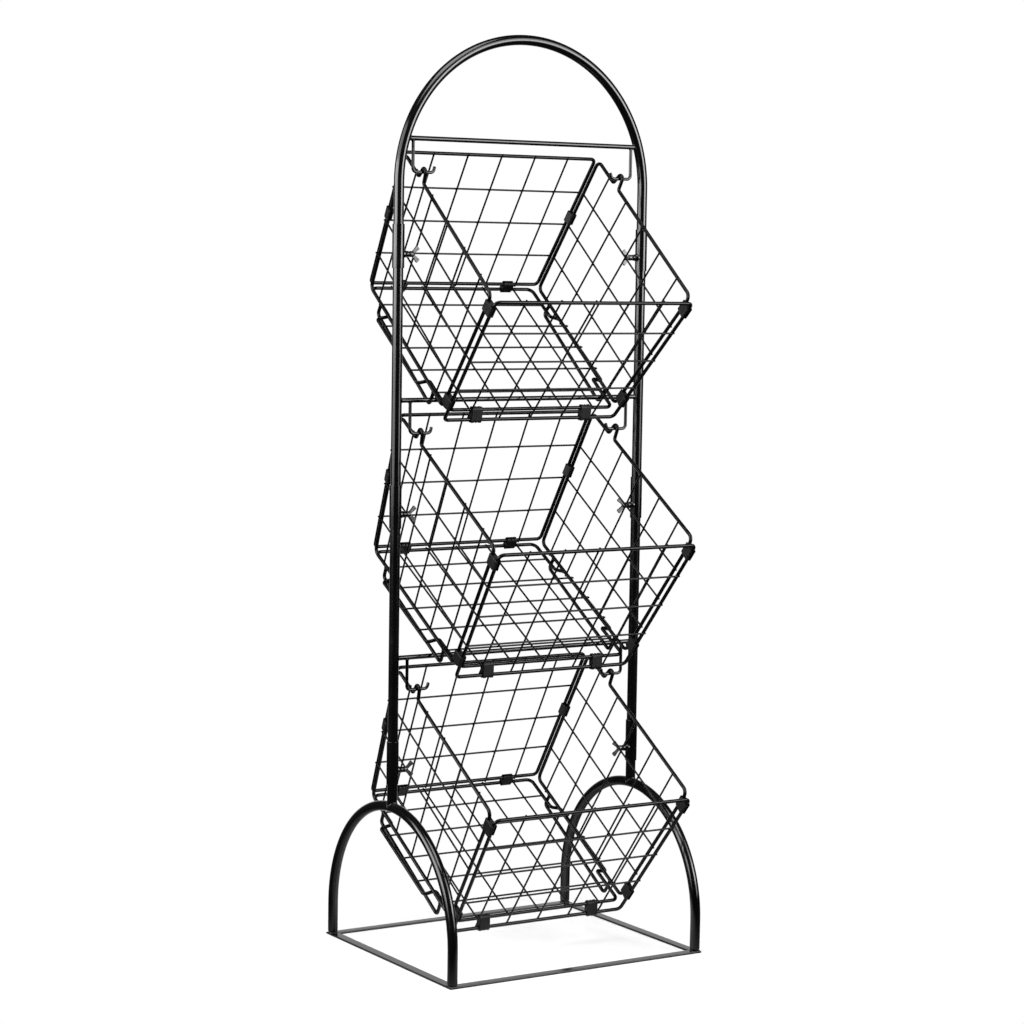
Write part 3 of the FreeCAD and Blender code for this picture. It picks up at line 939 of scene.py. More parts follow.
@dataclass
class WingScrew:
    """A screw with two flat wings in a V, which clamps a sleeve on the tube inside it.

    The hub's knee says how far in and down the middle of its head's rounding lies.
    """

    tip: float = 6.65
    shank_radius: float = 2.5
    thread_depth: float = 0.4
    thread_pitch: float = 0.8
    hub_start: float = 15.5
    hub_end: float = 21.0
    hub_radius: float = 3.7
    hub_foot_round: float = 0.5
    hub_head_round: float = 1.6
    hub_knee: tuple[float, float] = (0.6, 0.5)
    wing_thickness: float = 2.2
    wing_end: float = 25.9
    wing_rise: float = 6.9
    wing_overrun: float = 2.4
    neck_half_width: float = 1.9
    waist_half_width: float = 2.2
    waist_share: float = 0.5
    tip_half_width: float = 3.0
    tip_round: float = 1.2
    tip_round_steps: int = 4
    edge_round: float = 0.45
    sharp_angle: float = 35.0
    sides: int = 24

    def mesh(self) -> bpy.types.Mesh:
        """Make the screw with its axis along Z, pointing away from the tube, and its wings in XZ.

        Returns:
            The mesh.
        """
        shape = bmesh.new()
        lathe(shape, self.profile(), Matrix.Identity(4), self.sides)
        for sign in (-1, 1):
            self.add_wing(shape, sign)
        return finish_mesh(shape, "wing_screw", self.sharp_angle)

    def profile(self) -> list[tuple[float, float]]:
        """Radius and height along the threaded shank and the hub.

        Returns:
            The points from the tip on.
        """
        root = self.shank_radius - self.thread_depth
        points = [(0, self.tip)]
        for turn in range(int((self.hub_start - self.tip) / self.thread_pitch)):
            start = self.tip + turn * self.thread_pitch
            points += [(root, start), (self.shank_radius, start + self.thread_pitch / 2)]
        hub, foot, head = self.hub_radius, self.hub_start, self.hub_end
        knee_in, knee_down = self.hub_knee
        points += [(root, foot), (hub - self.hub_foot_round, foot), (hub, foot + self.hub_foot_round),
                   (hub, head - self.hub_head_round), (hub - knee_in, head - knee_down),
                   (hub - self.hub_head_round, head), (0, head)]
        return points

    def add_wing(self, shape: bmesh.types.BMesh, sign: int) -> None:
        """Add one wing, narrow at its neck and square with rounded corners at its tip.

        Args:
            shape: The screw's shape.
            sign: The wing's side along X.
        """
        start = Vector((0, 0, (self.hub_start + self.hub_end) / 2))
        end = Vector((sign * self.wing_rise, 0, self.wing_end))
        along = (end - start).normalized()
        wide = along.cross(Y_AXIS).normalized()
        far = (end - start).length + self.wing_overrun
        waist = far * self.waist_share
        turn = self.tip_round
        outline = [(0, -self.neck_half_width), (waist, -self.waist_half_width)]
        for side in (-1, 1):
            for step in range(self.tip_round_steps + 1):
                angle = math.pi / 2 * step / self.tip_round_steps
                run, rise = math.sin(angle), math.cos(angle)
                if side > 0:
                    run, rise = rise, run
                outline.append((far - turn + turn * run, side * (self.tip_half_width - turn + turn * rise)))
        outline += [(waist, self.waist_half_width), (0, self.neck_half_width)]
        half, edge = self.wing_thickness / 2, self.edge_round
        middle = Vector((far / 2, 0))
        loops = []
        for level, inset in ((-half, edge), (-half + edge, 0), (half - edge, 0), (half, edge)):
            loop = []
            for point in map(Vector, outline):
                inner = point + (middle - point).normalized() * inset
                loop.append(start + along * inner.x + wide * inner.y + Y_AXIS * level)
            loops.append(loop)
        rows = skin(shape, loops)
        shape.faces.new(rows[0])
        shape.faces.new(rows[-1])


@dataclass
class Sleeve:
    """A short tube that joins two sections, with a flared boss tapped for its screw.

    The boss's profile is its radius at each distance from the tube's axis, and the round's share
    says how far from its corner the middle of an edge's rounding lies.
    """

    inner_radius: float = 6.42
    outer_radius: float = 7.49
    length: float = 53.0
    edge_round: float = 0.35
    round_share: float = 0.3
    boss_height: float = 17.0
    boss_profile: tuple[tuple[float, float], ...] = (
        (0, 5.2), (5.3, 5.2), (5.25, 7.4), (4.75, 8.1), (4.3, 9.4), (3.95, 11.2), (3.7, 13.2), (3.55, 14.1),
        (3.2, 14.5), (2.6, 14.5), (2.55, 13.4), (0, 13.4))
    sides: int = 40

    @property
    def boss_axis(self) -> Matrix:
        """Where the boss's axis lies, along X."""
        return Matrix.Translation((0, 0, self.boss_height)) @ Matrix.Rotation(math.pi / 2, 4, "Y")

    def mesh(self) -> bpy.types.Mesh:
        """Make the sleeve standing on its lower end.

        Returns:
            The mesh.
        """
        shape = bmesh.new()
        turn, top = self.edge_round, self.length
        inner, outer = self.inner_radius, self.outer_radius
        cut = turn * self.round_share
        profile = [(inner, turn), (inner + turn, 0), (outer - turn, 0), (outer - cut, cut), (outer, turn),
                   (outer, top - turn), (outer - cut, top - cut), (outer - turn, top), (inner + turn, top),
                   (inner, top - turn)]
        lathe(shape, profile, Matrix.Identity(4), self.sides, True)
        lathe(shape, self.boss_profile, self.boss_axis, self.sides)
        return finish_mesh(shape, "sleeve")


@dataclass
class Section:
    """One section of the stand: uprights or arch, crossbar, hooks, sleeves and wing screws."""

    stand: Stand
    bench: Bench
    tier: Tier
    sleeve: Sleeve = field(default_factory=Sleeve)
    screw: WingScrew = field(default_factory=WingScrew)
    hook_wire_diameter: float = 4.0
    hook_inset: float = 19.0
    hook_reach: float = 28.5
    hook_tip_rise: float = 7.5
    hook_tip_lean: float = 2.0
    hook_bend: float = 5.0
    bead_radius: float = 0.8
    hook_bead_radius: float = 0.7
    ripples: int = 9
    ripple_share: float = 0.15
    rod_sides: int = 20
    bend_steps: int = 10

    @property
    def body(self) -> str:
        """The body that the section rides on."""
        return f"{self.tier.word}_section"

    def build(self) -> None:
        """Make and dress every piece of the section."""
        self.build_tubes()
        self.build_crossbar()
        for side in Side:
            self.build_hook(side)
            self.build_sleeve(side)
        self.build_beads()

    def build_tubes(self) -> None:
        """Make the section's two uprights, or the arch at the top."""
        stand, bench = self.stand, self.bench
        foot = stand.section_foot(self.tier)
        if self.tier is Tier.UPPER:
            arch = stand.arch(Vector(), X_AXIS * stand.half_spacing, foot, stand.arch_crown)
            bench.hang_wires("upper_arch_tube", stand.sketch(arch), bench.frame_coat, self.body,
                             ["upper_arch"], stand.tube_sides, stand.arch_steps)
            return
        head = stand.section_foot(Tier(self.tier.value + 1))
        for side in Side:
            node = f"{side.word}_{self.tier.word}_upright"
            sketch = stand.sketch(stand.upright(side, foot, head))
            bench.hang_wires(node + "_tube", sketch, bench.frame_coat, self.body, [node], stand.tube_sides)

    def tube_face(self, y: float, z: float) -> float:
        """Distance from the stand's middle to the inner face of its tube, at the crossbar.

        Args:
            y: A place in depth, from the stand's middle plane.
            z: A height.

        Returns:
            The distance there.
        """
        stand = self.stand
        reach = stand.half_spacing - math.sqrt(stand.tube_radius ** 2 - y ** 2)
        rise = max(z - (stand.arch_crown - stand.half_spacing), 0)
        return math.sqrt(reach ** 2 - rise ** 2)

    def build_crossbar(self) -> None:
        """Make the round bar between the tubes."""
        stand, bench = self.stand, self.bench
        height = stand.crossbar(self.tier)
        reach = self.tube_face(0, height) + stand.tube_radius / 2
        ends = [Vector((-reach, 0, height)), Vector((reach, 0, height))]
        sketch = stand.sketch(WirePath(ends, stand.crossbar_diameter))
        node = f"{self.tier.word}_crossbar"
        bench.hang_wires(node + "_rod", sketch, bench.frame_coat, self.body, [node], self.rod_sides)

    def build_hook(self, side: Side) -> None:
        """Make a hook: down from the crossbar, inward, and up at its tip.

        Args:
            side: The hook's side.
        """
        stand, bench = self.stand, self.bench
        bar, run = stand.crossbar(self.tier), stand.hook_run(self.tier)
        place = stand.half_spacing - self.hook_inset
        end = place - self.hook_reach
        corners = sided(side, [Vector((place, 0, bar)), Vector((place, 0, run)), Vector((end, 0, run)),
                               Vector((end - self.hook_tip_lean, 0, run + self.hook_tip_rise))])
        path = WirePath(corners, self.hook_wire_diameter, [0, self.hook_bend, self.hook_bend, 0])
        node = f"{side.word}_{self.tier.word}_hook"
        bench.hang_wires(node + "_wire", stand.sketch(path), bench.frame_coat, self.body, [node],
                         self.rod_sides, self.bend_steps)

    def build_sleeve(self, side: Side) -> None:
        """Make a sleeve and its wing screw, which point inward.

        Args:
            side: Their side.
        """
        stand, bench = self.stand, self.bench
        turn = Matrix.Rotation(0 if side is Side.LEFT else math.pi, 4, "Z")
        foot = Matrix.Translation((side.value * stand.half_spacing, 0, stand.sleeve_foot(self.tier)))
        place = stand.place @ foot @ turn
        stem = f"{side.word}_{self.tier.word}"
        bench.hang_copies(stem + "_sleeve_tube", self.sleeve.mesh(), [place], bench.frame_coat,
                          self.body, stem + "_sleeve")
        screw = stem + "_wing_screw"
        bench.hang_copies(screw + "_metal", self.screw.mesh(), [place @ self.sleeve.boss_axis],
                          bench.plated_steel, screw, screw)

    def bar_seam(self, side: Side, y: float, rise: float) -> Vector:
        """A point of the seam between a crossbar's end and its tube, by its place from the bar's axis."""
        height = self.stand.crossbar(self.tier) + rise
        return Vector((side.value * self.tube_face(y, height), y, height))

    def hook_seam(self, x: float, across: float, y: float) -> Vector:
        """A point of the seam between a hook and the bar above it, by its place from the hook's axis."""
        drop = math.sqrt((self.stand.crossbar_diameter / 2) ** 2 - y ** 2)
        return Vector((x + across, y, self.stand.crossbar(self.tier) - drop))

    def build_beads(self) -> None:
        """Make the weld beads at the crossbar's ends and the hooks' heads."""
        stand, bench = self.stand, self.bench
        sketch = stand.sketch()
        for side in Side:
            ring = stand.around(partial(self.bar_seam, side), stand.crossbar_diameter / 2)
            sketch.bead(ring, self.bead_radius, self.ripples, self.ripple_share)
            x = side.value * (stand.half_spacing - self.hook_inset)
            ring = stand.around(partial(self.hook_seam, x), self.hook_wire_diameter / 2)
            sketch.bead(ring, self.hook_bead_radius, self.ripples, self.ripple_share)
        bench.hang_wires(f"{self.tier.word}_section_weld_beads", sketch, bench.frame_coat, self.body, [],
                         stand.bead_sides)


@dataclass
class Clip:
    """A moulded snap clip that holds two wires side by side, with a split mouth at each end.

    A turn is half the angle that a mouth spans, in degrees, at its lips or at the bore. The mouth
    is wider in the notches between the clip's fingers, whose shares are places along its length.
    """

    bore_radius: float = 2.4
    outer_radius: float = 4.2
    length: float = 15.0
    edge_round: float = 0.5
    lip_turn: float = 24.0
    bore_turn: float = 44.4
    notch_lip_turn: float = 52.0
    notch_bore_turn: float = 66.0
    finger_shares: tuple[float, ...] = (0.32, 0.42, 0.58, 0.68)
    notch_slope: float = 0.25
    arc_steps: int = 8
    sharp_angle: float = 32.0

    def arc(self, middle: float, radius: float, start: float, stop: float) -> list[Vector]:
        """Points of an arc about a wire.

        Args:
            middle: The wire's place along the clip.
            radius: The arc's radius.
            start: The angle where it starts, in degrees.
            stop: The angle where it stops.

        Returns:
            The points.
        """
        points = []
        for step in range(self.arc_steps + 1):
            angle = math.radians(start + (stop - start) * step / self.arc_steps)
            points.append(Vector((middle + radius * math.cos(angle), radius * math.sin(angle))))
        return points

    def outline(self, spacing: float, lip: float, bore: float) -> list[Vector]:
        """The clip's section across the wires.

        Args:
            spacing: The distance between the wires.
            lip: Half the angle that the mouth spans at the outer face, in degrees.
            bore: Half the angle that it spans at the bore.

        Returns:
            The section's points, in order.
        """
        outer, inner = self.outer_radius, self.bore_radius
        points = self.arc(0, outer, 90, 180 - lip)
        points += self.arc(0, inner, 180 - bore, bore - 180)
        points += self.arc(0, outer, 180 + lip, 270)
        points += self.arc(spacing, outer, 270, 360 - lip)
        points += self.arc(spacing, inner, -bore, bore - 360)
        points += self.arc(spacing, outer, lip, 90)
        return points

    def inset(self, points: list[Vector]) -> list[Vector]:
        """An outline moved inwards by the rounding of the clip's edges.

        Args:
            points: The outline.

        Returns:
            The moved outline.
        """
        moved = []
        for index, point in enumerate(points):
            along = points[(index + 1) % len(points)] - points[index - 1]
            moved.append(point + Vector((-along.y, along.x)).normalized() * self.edge_round)
        return moved

    def mesh(self, spacing: float) -> bpy.types.Mesh:
        """Make the clip with its wires along Z, the first at the origin and the second along X.

        Args:
            spacing: The distance between the wires.

        Returns:
            The mesh.
        """
        whole = self.outline(spacing, self.lip_turn, self.bore_turn)
        notched = self.outline(spacing, self.notch_lip_turn, self.notch_bore_turn)
        half, slope = self.length / 2, self.notch_slope / 2
        stations = [(-half, self.inset(whole)), (self.edge_round - half, whole)]
        before, after = whole, notched
        for share in self.finger_shares:
            level = share * self.length - half
            stations += [(level - slope, before), (level + slope, after)]
            before, after = after, before
        stations += [(half - self.edge_round, whole), (half, self.inset(whole))]
        shape = bmesh.new()
        rows = skin(shape, [[point.to_3d() + Z_AXIS * level for point in line] for level, line in stations])
        ends = [shape.faces.new(rows[0]), shape.faces.new(rows[-1])]
        bmesh.ops.triangulate(shape, faces=ends, ngon_method="EAR_CLIP")
        return finish_mesh(shape, "clip", self.sharp_angle)


@dataclass
class Basket:
    """One wire basket: five panels, two feet and ten clips, hung tilted on the hooks.

    Its own frame stands upright, with its front towards minus Y. A flare is how much further out
    a panel lies at the flare height than at the foot.
    """

    stand: Stand
    bench: Bench
    tier: Tier
    clip: Clip = field(default_factory=Clip)
    rail_diameter: float = 4.6
    grid_diameter: float = 2.4
    grid_offset: float = 1.15
    nub_reach: float = 3.1
    grid_steps: tuple[int, ...] = (-2, -1, 0, 1, 2)
    row_count: int = 3
    flare_height: float = 196.0
    half_width_foot: float = 125.0
    half_width_flare: float = 16.2
    back_depth_foot: float = 122.4
    back_depth_flare: float = 18.0
    front_depth_foot: float = 125.2
    front_depth_flare: float = 17.5
    end_rail_height: float = 196.4
    back_foot_height: float = 2.7
    front_foot_height: float = -6.8
    end_bend: float = 6.0
    grid_top_pitch: float = 49.3
    grid_foot_pitch: float = 45.5
    row_drop: float = 51.0
    row_pitch: float = 48.9
    side_offset: float = 1.2
    side_back_gap: float = 6.0
    side_front_gap: float = 11.3
    side_rail_height: float = 198.4
    side_back_foot_height: float = 0.5
    side_front_foot_height: float = 6.6
    side_bend: float = 8.0
    hinge_depth: float = 82.5
    hinge_height: float = 210.5
    hump_radius: float = 4.6
    hump_leg_angle: float = 13.0
    hump_bend: float = 3.5
    foot_low_height: float = -15.4
    foot_back_place: float = 83.0
    foot_front_place: float = 86.3
    foot_bend: float = 5.0
    foot_weld_width: float = 2.8
    foot_weld_height: float = 1.7
    floor_half_width: float = 120.5
    floor_back_place: float = 123.2
    floor_front_place: float = 118.3
    floor_back_height: float = -6.5
    floor_front_height: float = 4.1
    floor_bend: float = 8.0
    tab_reach: float = 16.0
    tab_back_place: float = 65.0
    tab_front_place: float = 62.0
    tab_drop: float = 4.0
    tab_bend: float = 4.0
    floor_pitch_across: float = 45.3
    floor_pitch_along: float = 43.5
    floor_grid_shift: float = 3.5
    edge_clip_place: float = 80.0
    back_clip_height: float = 110.0
    front_clip_heights: tuple[float, ...] = (181.0, 21.0)
    hang_tilt: float = 32.2
    bar_stand_off: float = 5.6
    weld_width: float = 1.65
    weld_height: float = 1.35
    wire_sides: int = 14
    bend_steps: int = 8

    @property
    def body(self) -> str:
        """The body that the basket rides on."""
        return f"{self.tier.word}_basket"

    @property
    def place(self) -> Matrix:
        """Where the basket's own frame lies. The upper one is parked behind the crossbar below it.

        Returns:
            The frame's matrix in the stand's frame.
        """
        tilt = math.radians(self.hang_tilt)
        if self.tier is Tier.UPPER:
            reach = self.hinge_depth + self.foot_front_place + self.bar_stand_off
            tilt = math.asin(reach / self.stand.bar_drop)
        rod = Matrix.Translation((0, 0, self.stand.hook_run(self.tier)))
        hinge = Matrix.Translation((0, -self.hinge_depth, -self.hinge_height))
        return self.stand.place @ rod @ Matrix.Rotation(tilt, 4, "X") @ hinge

    def half_width(self, height: float) -> float:
        """Half the distance between the end panels' side wires at a height."""
        return self.half_width_foot + self.half_width_flare * height / self.flare_height

    def back_place(self, height: float) -> float:
        """Place of the back panel at a height."""
        return self.back_depth_foot + self.back_depth_flare * height / self.flare_height

    def front_place(self, height: float) -> float:
        """Place of the front panel at a height."""
        return -self.front_depth_foot - self.front_depth_flare * height / self.flare_height

    def side_point(self, place: float, height: float) -> Vector:
        """A point of the right side panel's plane."""
        return Vector((self.half_width(height) + self.side_offset, place, height))

    def side_back(self, height: float) -> float:
        """Place of the side panels' back wire at a height."""
        return self.back_place(height) - self.side_back_gap

    def side_front(self, height: float) -> float:
        """Place of the side panels' front wire at a height."""
        return self.front_place(height) + self.side_front_gap

    def side_foot_height(self, place: float) -> float:
        """Height of the side panels' lower wire.

        Args:
            place: A place between its back and its front.

        Returns:
            The height there.
        """
        low, high = self.side_back_foot_height, self.side_front_foot_height
        back, front = self.side_back(low), self.side_front(high)
        return low + (high - low) * (back - place) / (back - front)

    def floor_point(self, across: float, along: float) -> Vector:
        """A point of the floor panel's plane.

        Args:
            across: The point's place across the basket.
            along: Its place from front to back.

        Returns:
            The point.
        """
        low, high = self.floor_back_height, self.floor_front_height
        share = (self.floor_back_place - along) / (self.floor_back_place + self.floor_front_place)
        return Vector((across, along, low + (high - low) * share))

    def row_heights(self, top: float) -> list[float]:
        """Heights of a panel's rows under its top rail."""
        return [top - self.row_drop - row * self.row_pitch for row in range(self.row_count)]

    def build(self) -> None:
        """Make and dress every piece of the basket."""
        self.hang_panel("back_panel", partial(
            self.end_panel, place=self.back_place, foot=self.back_foot_height, outward=1))
        self.hang_panel("front_panel", partial(
            self.end_panel, place=self.front_place, foot=self.front_foot_height, outward=-1))
        self.hang_panel("floor_panel", self.floor_panel)
        for side in Side:
            self.hang_panel(f"{side.word}_panel", partial(self.side_panel, side=side))
        self.hang_panel("feet", self.feet)
        self.build_clips()

    def hang_panel(self, name: str, draw: Callable[[WireSketch], None]) -> None:
        """Grow one panel and hang it on the basket.

        Args:
            name: The panel's solid, without the basket's name.
            draw: Draws the panel's wires in a sketch.
        """
        sketch = WireSketch(self.place)
        draw(sketch)
        node = f"{self.body}_{name}"
        self.bench.hang_wires(node + "_wires", sketch, self.bench.basket_coat, self.body, [node],
                              self.wire_sides, self.bend_steps)

    def grid(self, sketch: WireSketch, uprights: Sequence[Sequence[Vector]],
             rows: Sequence[Sequence[Vector]], normal: Vector) -> None:
        """Add a panel's grid, uprights inside and rows outside, with a weld at each crossing.

        Every wire runs just past the rails at its ends.

        Args:
            sketch: The panel's sketch.
            uprights: Both ends of each upright, in the panel's middle plane.
            rows: Both ends of each row.
            normal: The panel's outward normal.
        """
        for wires, offset in ((uprights, -self.grid_offset), (rows, self.grid_offset)):
            for start, end in wires:
                nub = (end - start).normalized() * self.nub_reach
                ends = [start + normal * offset - nub, end + normal * offset + nub]
                sketch.wire(WirePath(ends, self.grid_diameter))
                for point in (start, end):
                    sketch.weld(point + normal * (offset / 2), normal, self.weld_width, self.weld_height)
        for upright in uprights:
            for row in rows:
                sketch.weld(self.crossing(*upright, *row), normal, self.weld_width, self.weld_height)

    def crossing(self, low: Vector, high: Vector, start: Vector, end: Vector) -> Vector:
        """The point of one wire that lies nearest to another.

        Args:
            low: The wire's first end.
            high: Its second end.
            start: The other wire's first end.
            end: Its second end.

        Returns:
            The point.
        """
        first, second = high - low, end - start
        between = first.cross(second)
        share = (start - low).cross(second).dot(between) / between.length_squared
        return low + first * share

    def end_panel(self, sketch: WireSketch, place: Callable[[float], float], foot: float,
                  outward: int) -> None:
        """Draw the back or front panel.

        Args:
            sketch: The panel's sketch.
            place: The panel's place at a height.
            foot: Height of its lower wire.
            outward: The sign of its outward side along Y.
        """
        top = self.end_rail_height
        ends = ((1, top), (-1, top), (-1, foot), (1, foot))
        corners = [Vector((sign * self.half_width(h), place(h), h)) for sign, h in ends]
        sketch.wire(WirePath(corners, self.rail_diameter, [self.end_bend] * len(corners), True))
        normal = Vector((0, place(top) - place(foot), top - foot)).cross(X_AXIS).normalized()
        normal = normal if normal.y * outward > 0 else -normal
        uprights = []
        for step in self.grid_steps:
            toe, head = step * self.grid_foot_pitch, step * self.grid_top_pitch
            uprights.append((Vector((toe, place(foot), foot)), Vector((head, place(top), top))))
        rows = []
        for height in self.row_heights(top):
            rows.append([Vector((sign * self.half_width(height), place(height), height)) for sign in (-1, 1)])
        self.grid(sketch, uprights, rows, normal)

    def side_panel(self, sketch: WireSketch, side: Side) -> None:
        """Draw a side panel, whose top wire rises in a hump that hangs on the hook.

        Args:
            sketch: The panel's sketch.
            side: The panel's side.
        """
        top, hinge = self.side_rail_height, self.hinge_depth
        back, front = self.side_back(top), self.side_front(top)
        back_foot = self.side_back(self.side_back_foot_height)
        front_foot = self.side_front(self.side_front_foot_height)
        angle = math.radians(self.hump_leg_angle)
        crown = self.hinge_height + self.hump_radius / math.sin(angle)
        half = (crown - top) * math.tan(angle)
        route = ((back, top), (hinge + half, top), (hinge, crown), (hinge - half, top), (front, top),
                 (front_foot, self.side_front_foot_height), (back_foot, self.side_back_foot_height))
        corners = [self.side_point(place, height) for place, height in route]
        bend, low = self.side_bend, self.hump_bend
        bends = [bend, low, self.hump_radius, low, bend, bend, bend]
        sketch.wire(WirePath(sided(side, corners), self.rail_diameter, bends, True))
        uprights = []
        for step in self.grid_steps:
            toe = (back_foot + front_foot) / 2 + step * self.grid_foot_pitch
            head = (back + front) / 2 + step * self.grid_top_pitch
            ends = [self.side_point(toe, self.side_foot_height(toe)), self.side_point(head, top)]
            uprights.append(sided(side, ends))
        rows = []
        for height in self.row_heights(top):
            places = (self.side_front(height), self.side_back(height))
            rows.append(sided(side, [self.side_point(place, height) for place in places]))
        normal = Y_AXIS.cross(corners[0] - self.side_point(back, 0)).normalized()
        self.grid(sketch, uprights, rows, *sided(side, [normal]))

    def feet(self, sketch: WireSketch) -> None:
        """Draw the two feet: a wire bent in a U under each side panel.

        Args:
            sketch: The feet's sketch.
        """
        back, front, low = self.foot_back_place, -self.foot_front_place, self.foot_low_height
        route = ((back, self.side_foot_height(back)), (back, low), (front, low),
                 (front, self.side_foot_height(front)))
        for side in Side:
            points = sided(side, [self.side_point(place, height) for place, height in route])
            sketch.wire(WirePath(points, self.rail_diameter, [self.foot_bend] * len(points)))
            for point in (points[0], points[-1]):
                under = point - Z_AXIS * (self.rail_diameter / 2)
                sketch.weld(under, Z_AXIS, self.foot_weld_width, self.foot_weld_height)

    def floor_panel(self, sketch: WireSketch) -> None:
        """Draw the floor: frame wire with a tab each side that passes over the foot, and a grid.

        Args:
            sketch: The floor's sketch.
        """
        edge, tab = self.floor_half_width, self.floor_half_width + self.tab_reach
        back, front = self.floor_back_place, -self.floor_front_place
        tab_back, tab_front = self.tab_back_place, -self.tab_front_place
        drop = Z_AXIS * self.tab_drop
        right = [self.floor_point(edge, back), self.floor_point(edge, tab_back),
                 self.floor_point(tab, tab_back) - drop, self.floor_point(tab, tab_front) - drop,
                 self.floor_point(edge, tab_front), self.floor_point(edge, front)]
        corners = right + sided(Side.LEFT, right[::-1])
        bends = [self.floor_bend] + [self.tab_bend] * (len(right) - 2) + [self.floor_bend]
        sketch.wire(WirePath(corners, self.rail_diameter, bends * 2, True))
        uprights, rows = [], []
        for step in self.grid_steps:
            across = step * self.floor_pitch_across
            rows.append((self.floor_point(across, back), self.floor_point(across, front)))
            along = self.floor_grid_shift + step * self.floor_pitch_along
            reach = tab if tab_front < along < tab_back else edge
            uprights.append((self.floor_point(-reach, along), self.floor_point(reach, along)))
        self.grid(sketch, uprights, rows, Z_AXIS)

    def clip_place(self, first: Vector, second: Vector, heading: Vector) -> tuple[Matrix, float]:
        """Where a clip sits on two wires.

        Args:
            first: A point of the first wire.
            second: A point of the second.
            heading: The way the wires run.

        Returns:
            The clip's matrix in the stand's frame, and the distance between the wires.
        """
        heading = heading.normalized()
        across = second - first
        across = across - heading * across.dot(heading)
        sideways = heading.cross(across.normalized())
        turn = Matrix((across.normalized(), sideways, heading)).transposed().to_4x4()
        return self.place @ Matrix.Translation(first) @ turn, across.length

    def build_clips(self) -> None:
        """Make the clips along the floor and at the corners, one piece for each kind."""
        back_heading = Vector((self.half_width_flare, self.back_depth_flare, self.flare_height))
        front_heading = Vector((self.half_width_flare, -self.front_depth_flare, self.flare_height))
        back_edge, front_edge, back_corner, front_corner = [], [], [], []
        for side in Side:
            x = side.value * self.edge_clip_place
            foot = self.back_foot_height
            rail = Vector((x, self.back_place(foot), foot))
            back_edge.append((rail, self.floor_point(x, self.floor_back_place), X_AXIS))
            foot = self.front_foot_height
            rail = Vector((x, self.front_place(foot), foot))
            front_edge.append((self.floor_point(x, -self.floor_front_place), rail, X_AXIS))
            height = self.back_clip_height
            rail = Vector((self.half_width(height), self.back_place(height), height))
            wire = self.side_point(self.side_back(height), height)
            back_corner.append(sided(side, [wire, rail, back_heading]))
            for height in self.front_clip_heights:
                rail = Vector((self.half_width(height), self.front_place(height), height))
                wire = self.side_point(self.side_front(height), height)
                front_corner.append(sided(side, [rail, wire, front_heading]))
        for name, node, wires in (
                ("back_edge_clips", "edge_clips", back_edge), ("front_edge_clips", "edge_clips", front_edge),
                ("back_corner_clips", "corner_clips", back_corner),
                ("front_corner_clips", "corner_clips", front_corner)):
            places, spacings = zip(*[self.clip_place(*pair) for pair in wires])
            self.bench.hang_copies(f"{self.body}_{name}_moulded", self.clip.mesh(spacings[0]), places,
                                   self.bench.clip_plastic, self.body, f"{self.body}_{node}")


@dataclass(frozen=True)
class Softbox:
    """A rectangular soft light. Metres, and watts for its power.

    Its turn is the angle round the object from the camera, in degrees, and its lift is the height
    of its middle.
    """

    name: str
    turn: float
    lift: float
    distance: float
    width: float
    height: float
    power: float

    def build(self, to_camera: Vector, aim: Vector) -> None:
        """Make the light.

        Args:
            to_camera: The level way from the object to the camera.
            aim: The point that the light faces.
        """
        lamp = bpy.data.lights.new(self.name, "AREA")
        lamp.shape = "RECTANGLE"
        lamp.size, lamp.size_y = self.width, self.height
        lamp.energy = self.power
        obj = add_object(self.name, lamp)
        way = Matrix.Rotation(math.radians(self.turn), 3, "Z") @ to_camera
        obj.location = way * self.distance + Z_AXIS * self.lift
        obj.rotation_euler = (aim - obj.location).to_track_quat("-Z", "Y").to_euler()


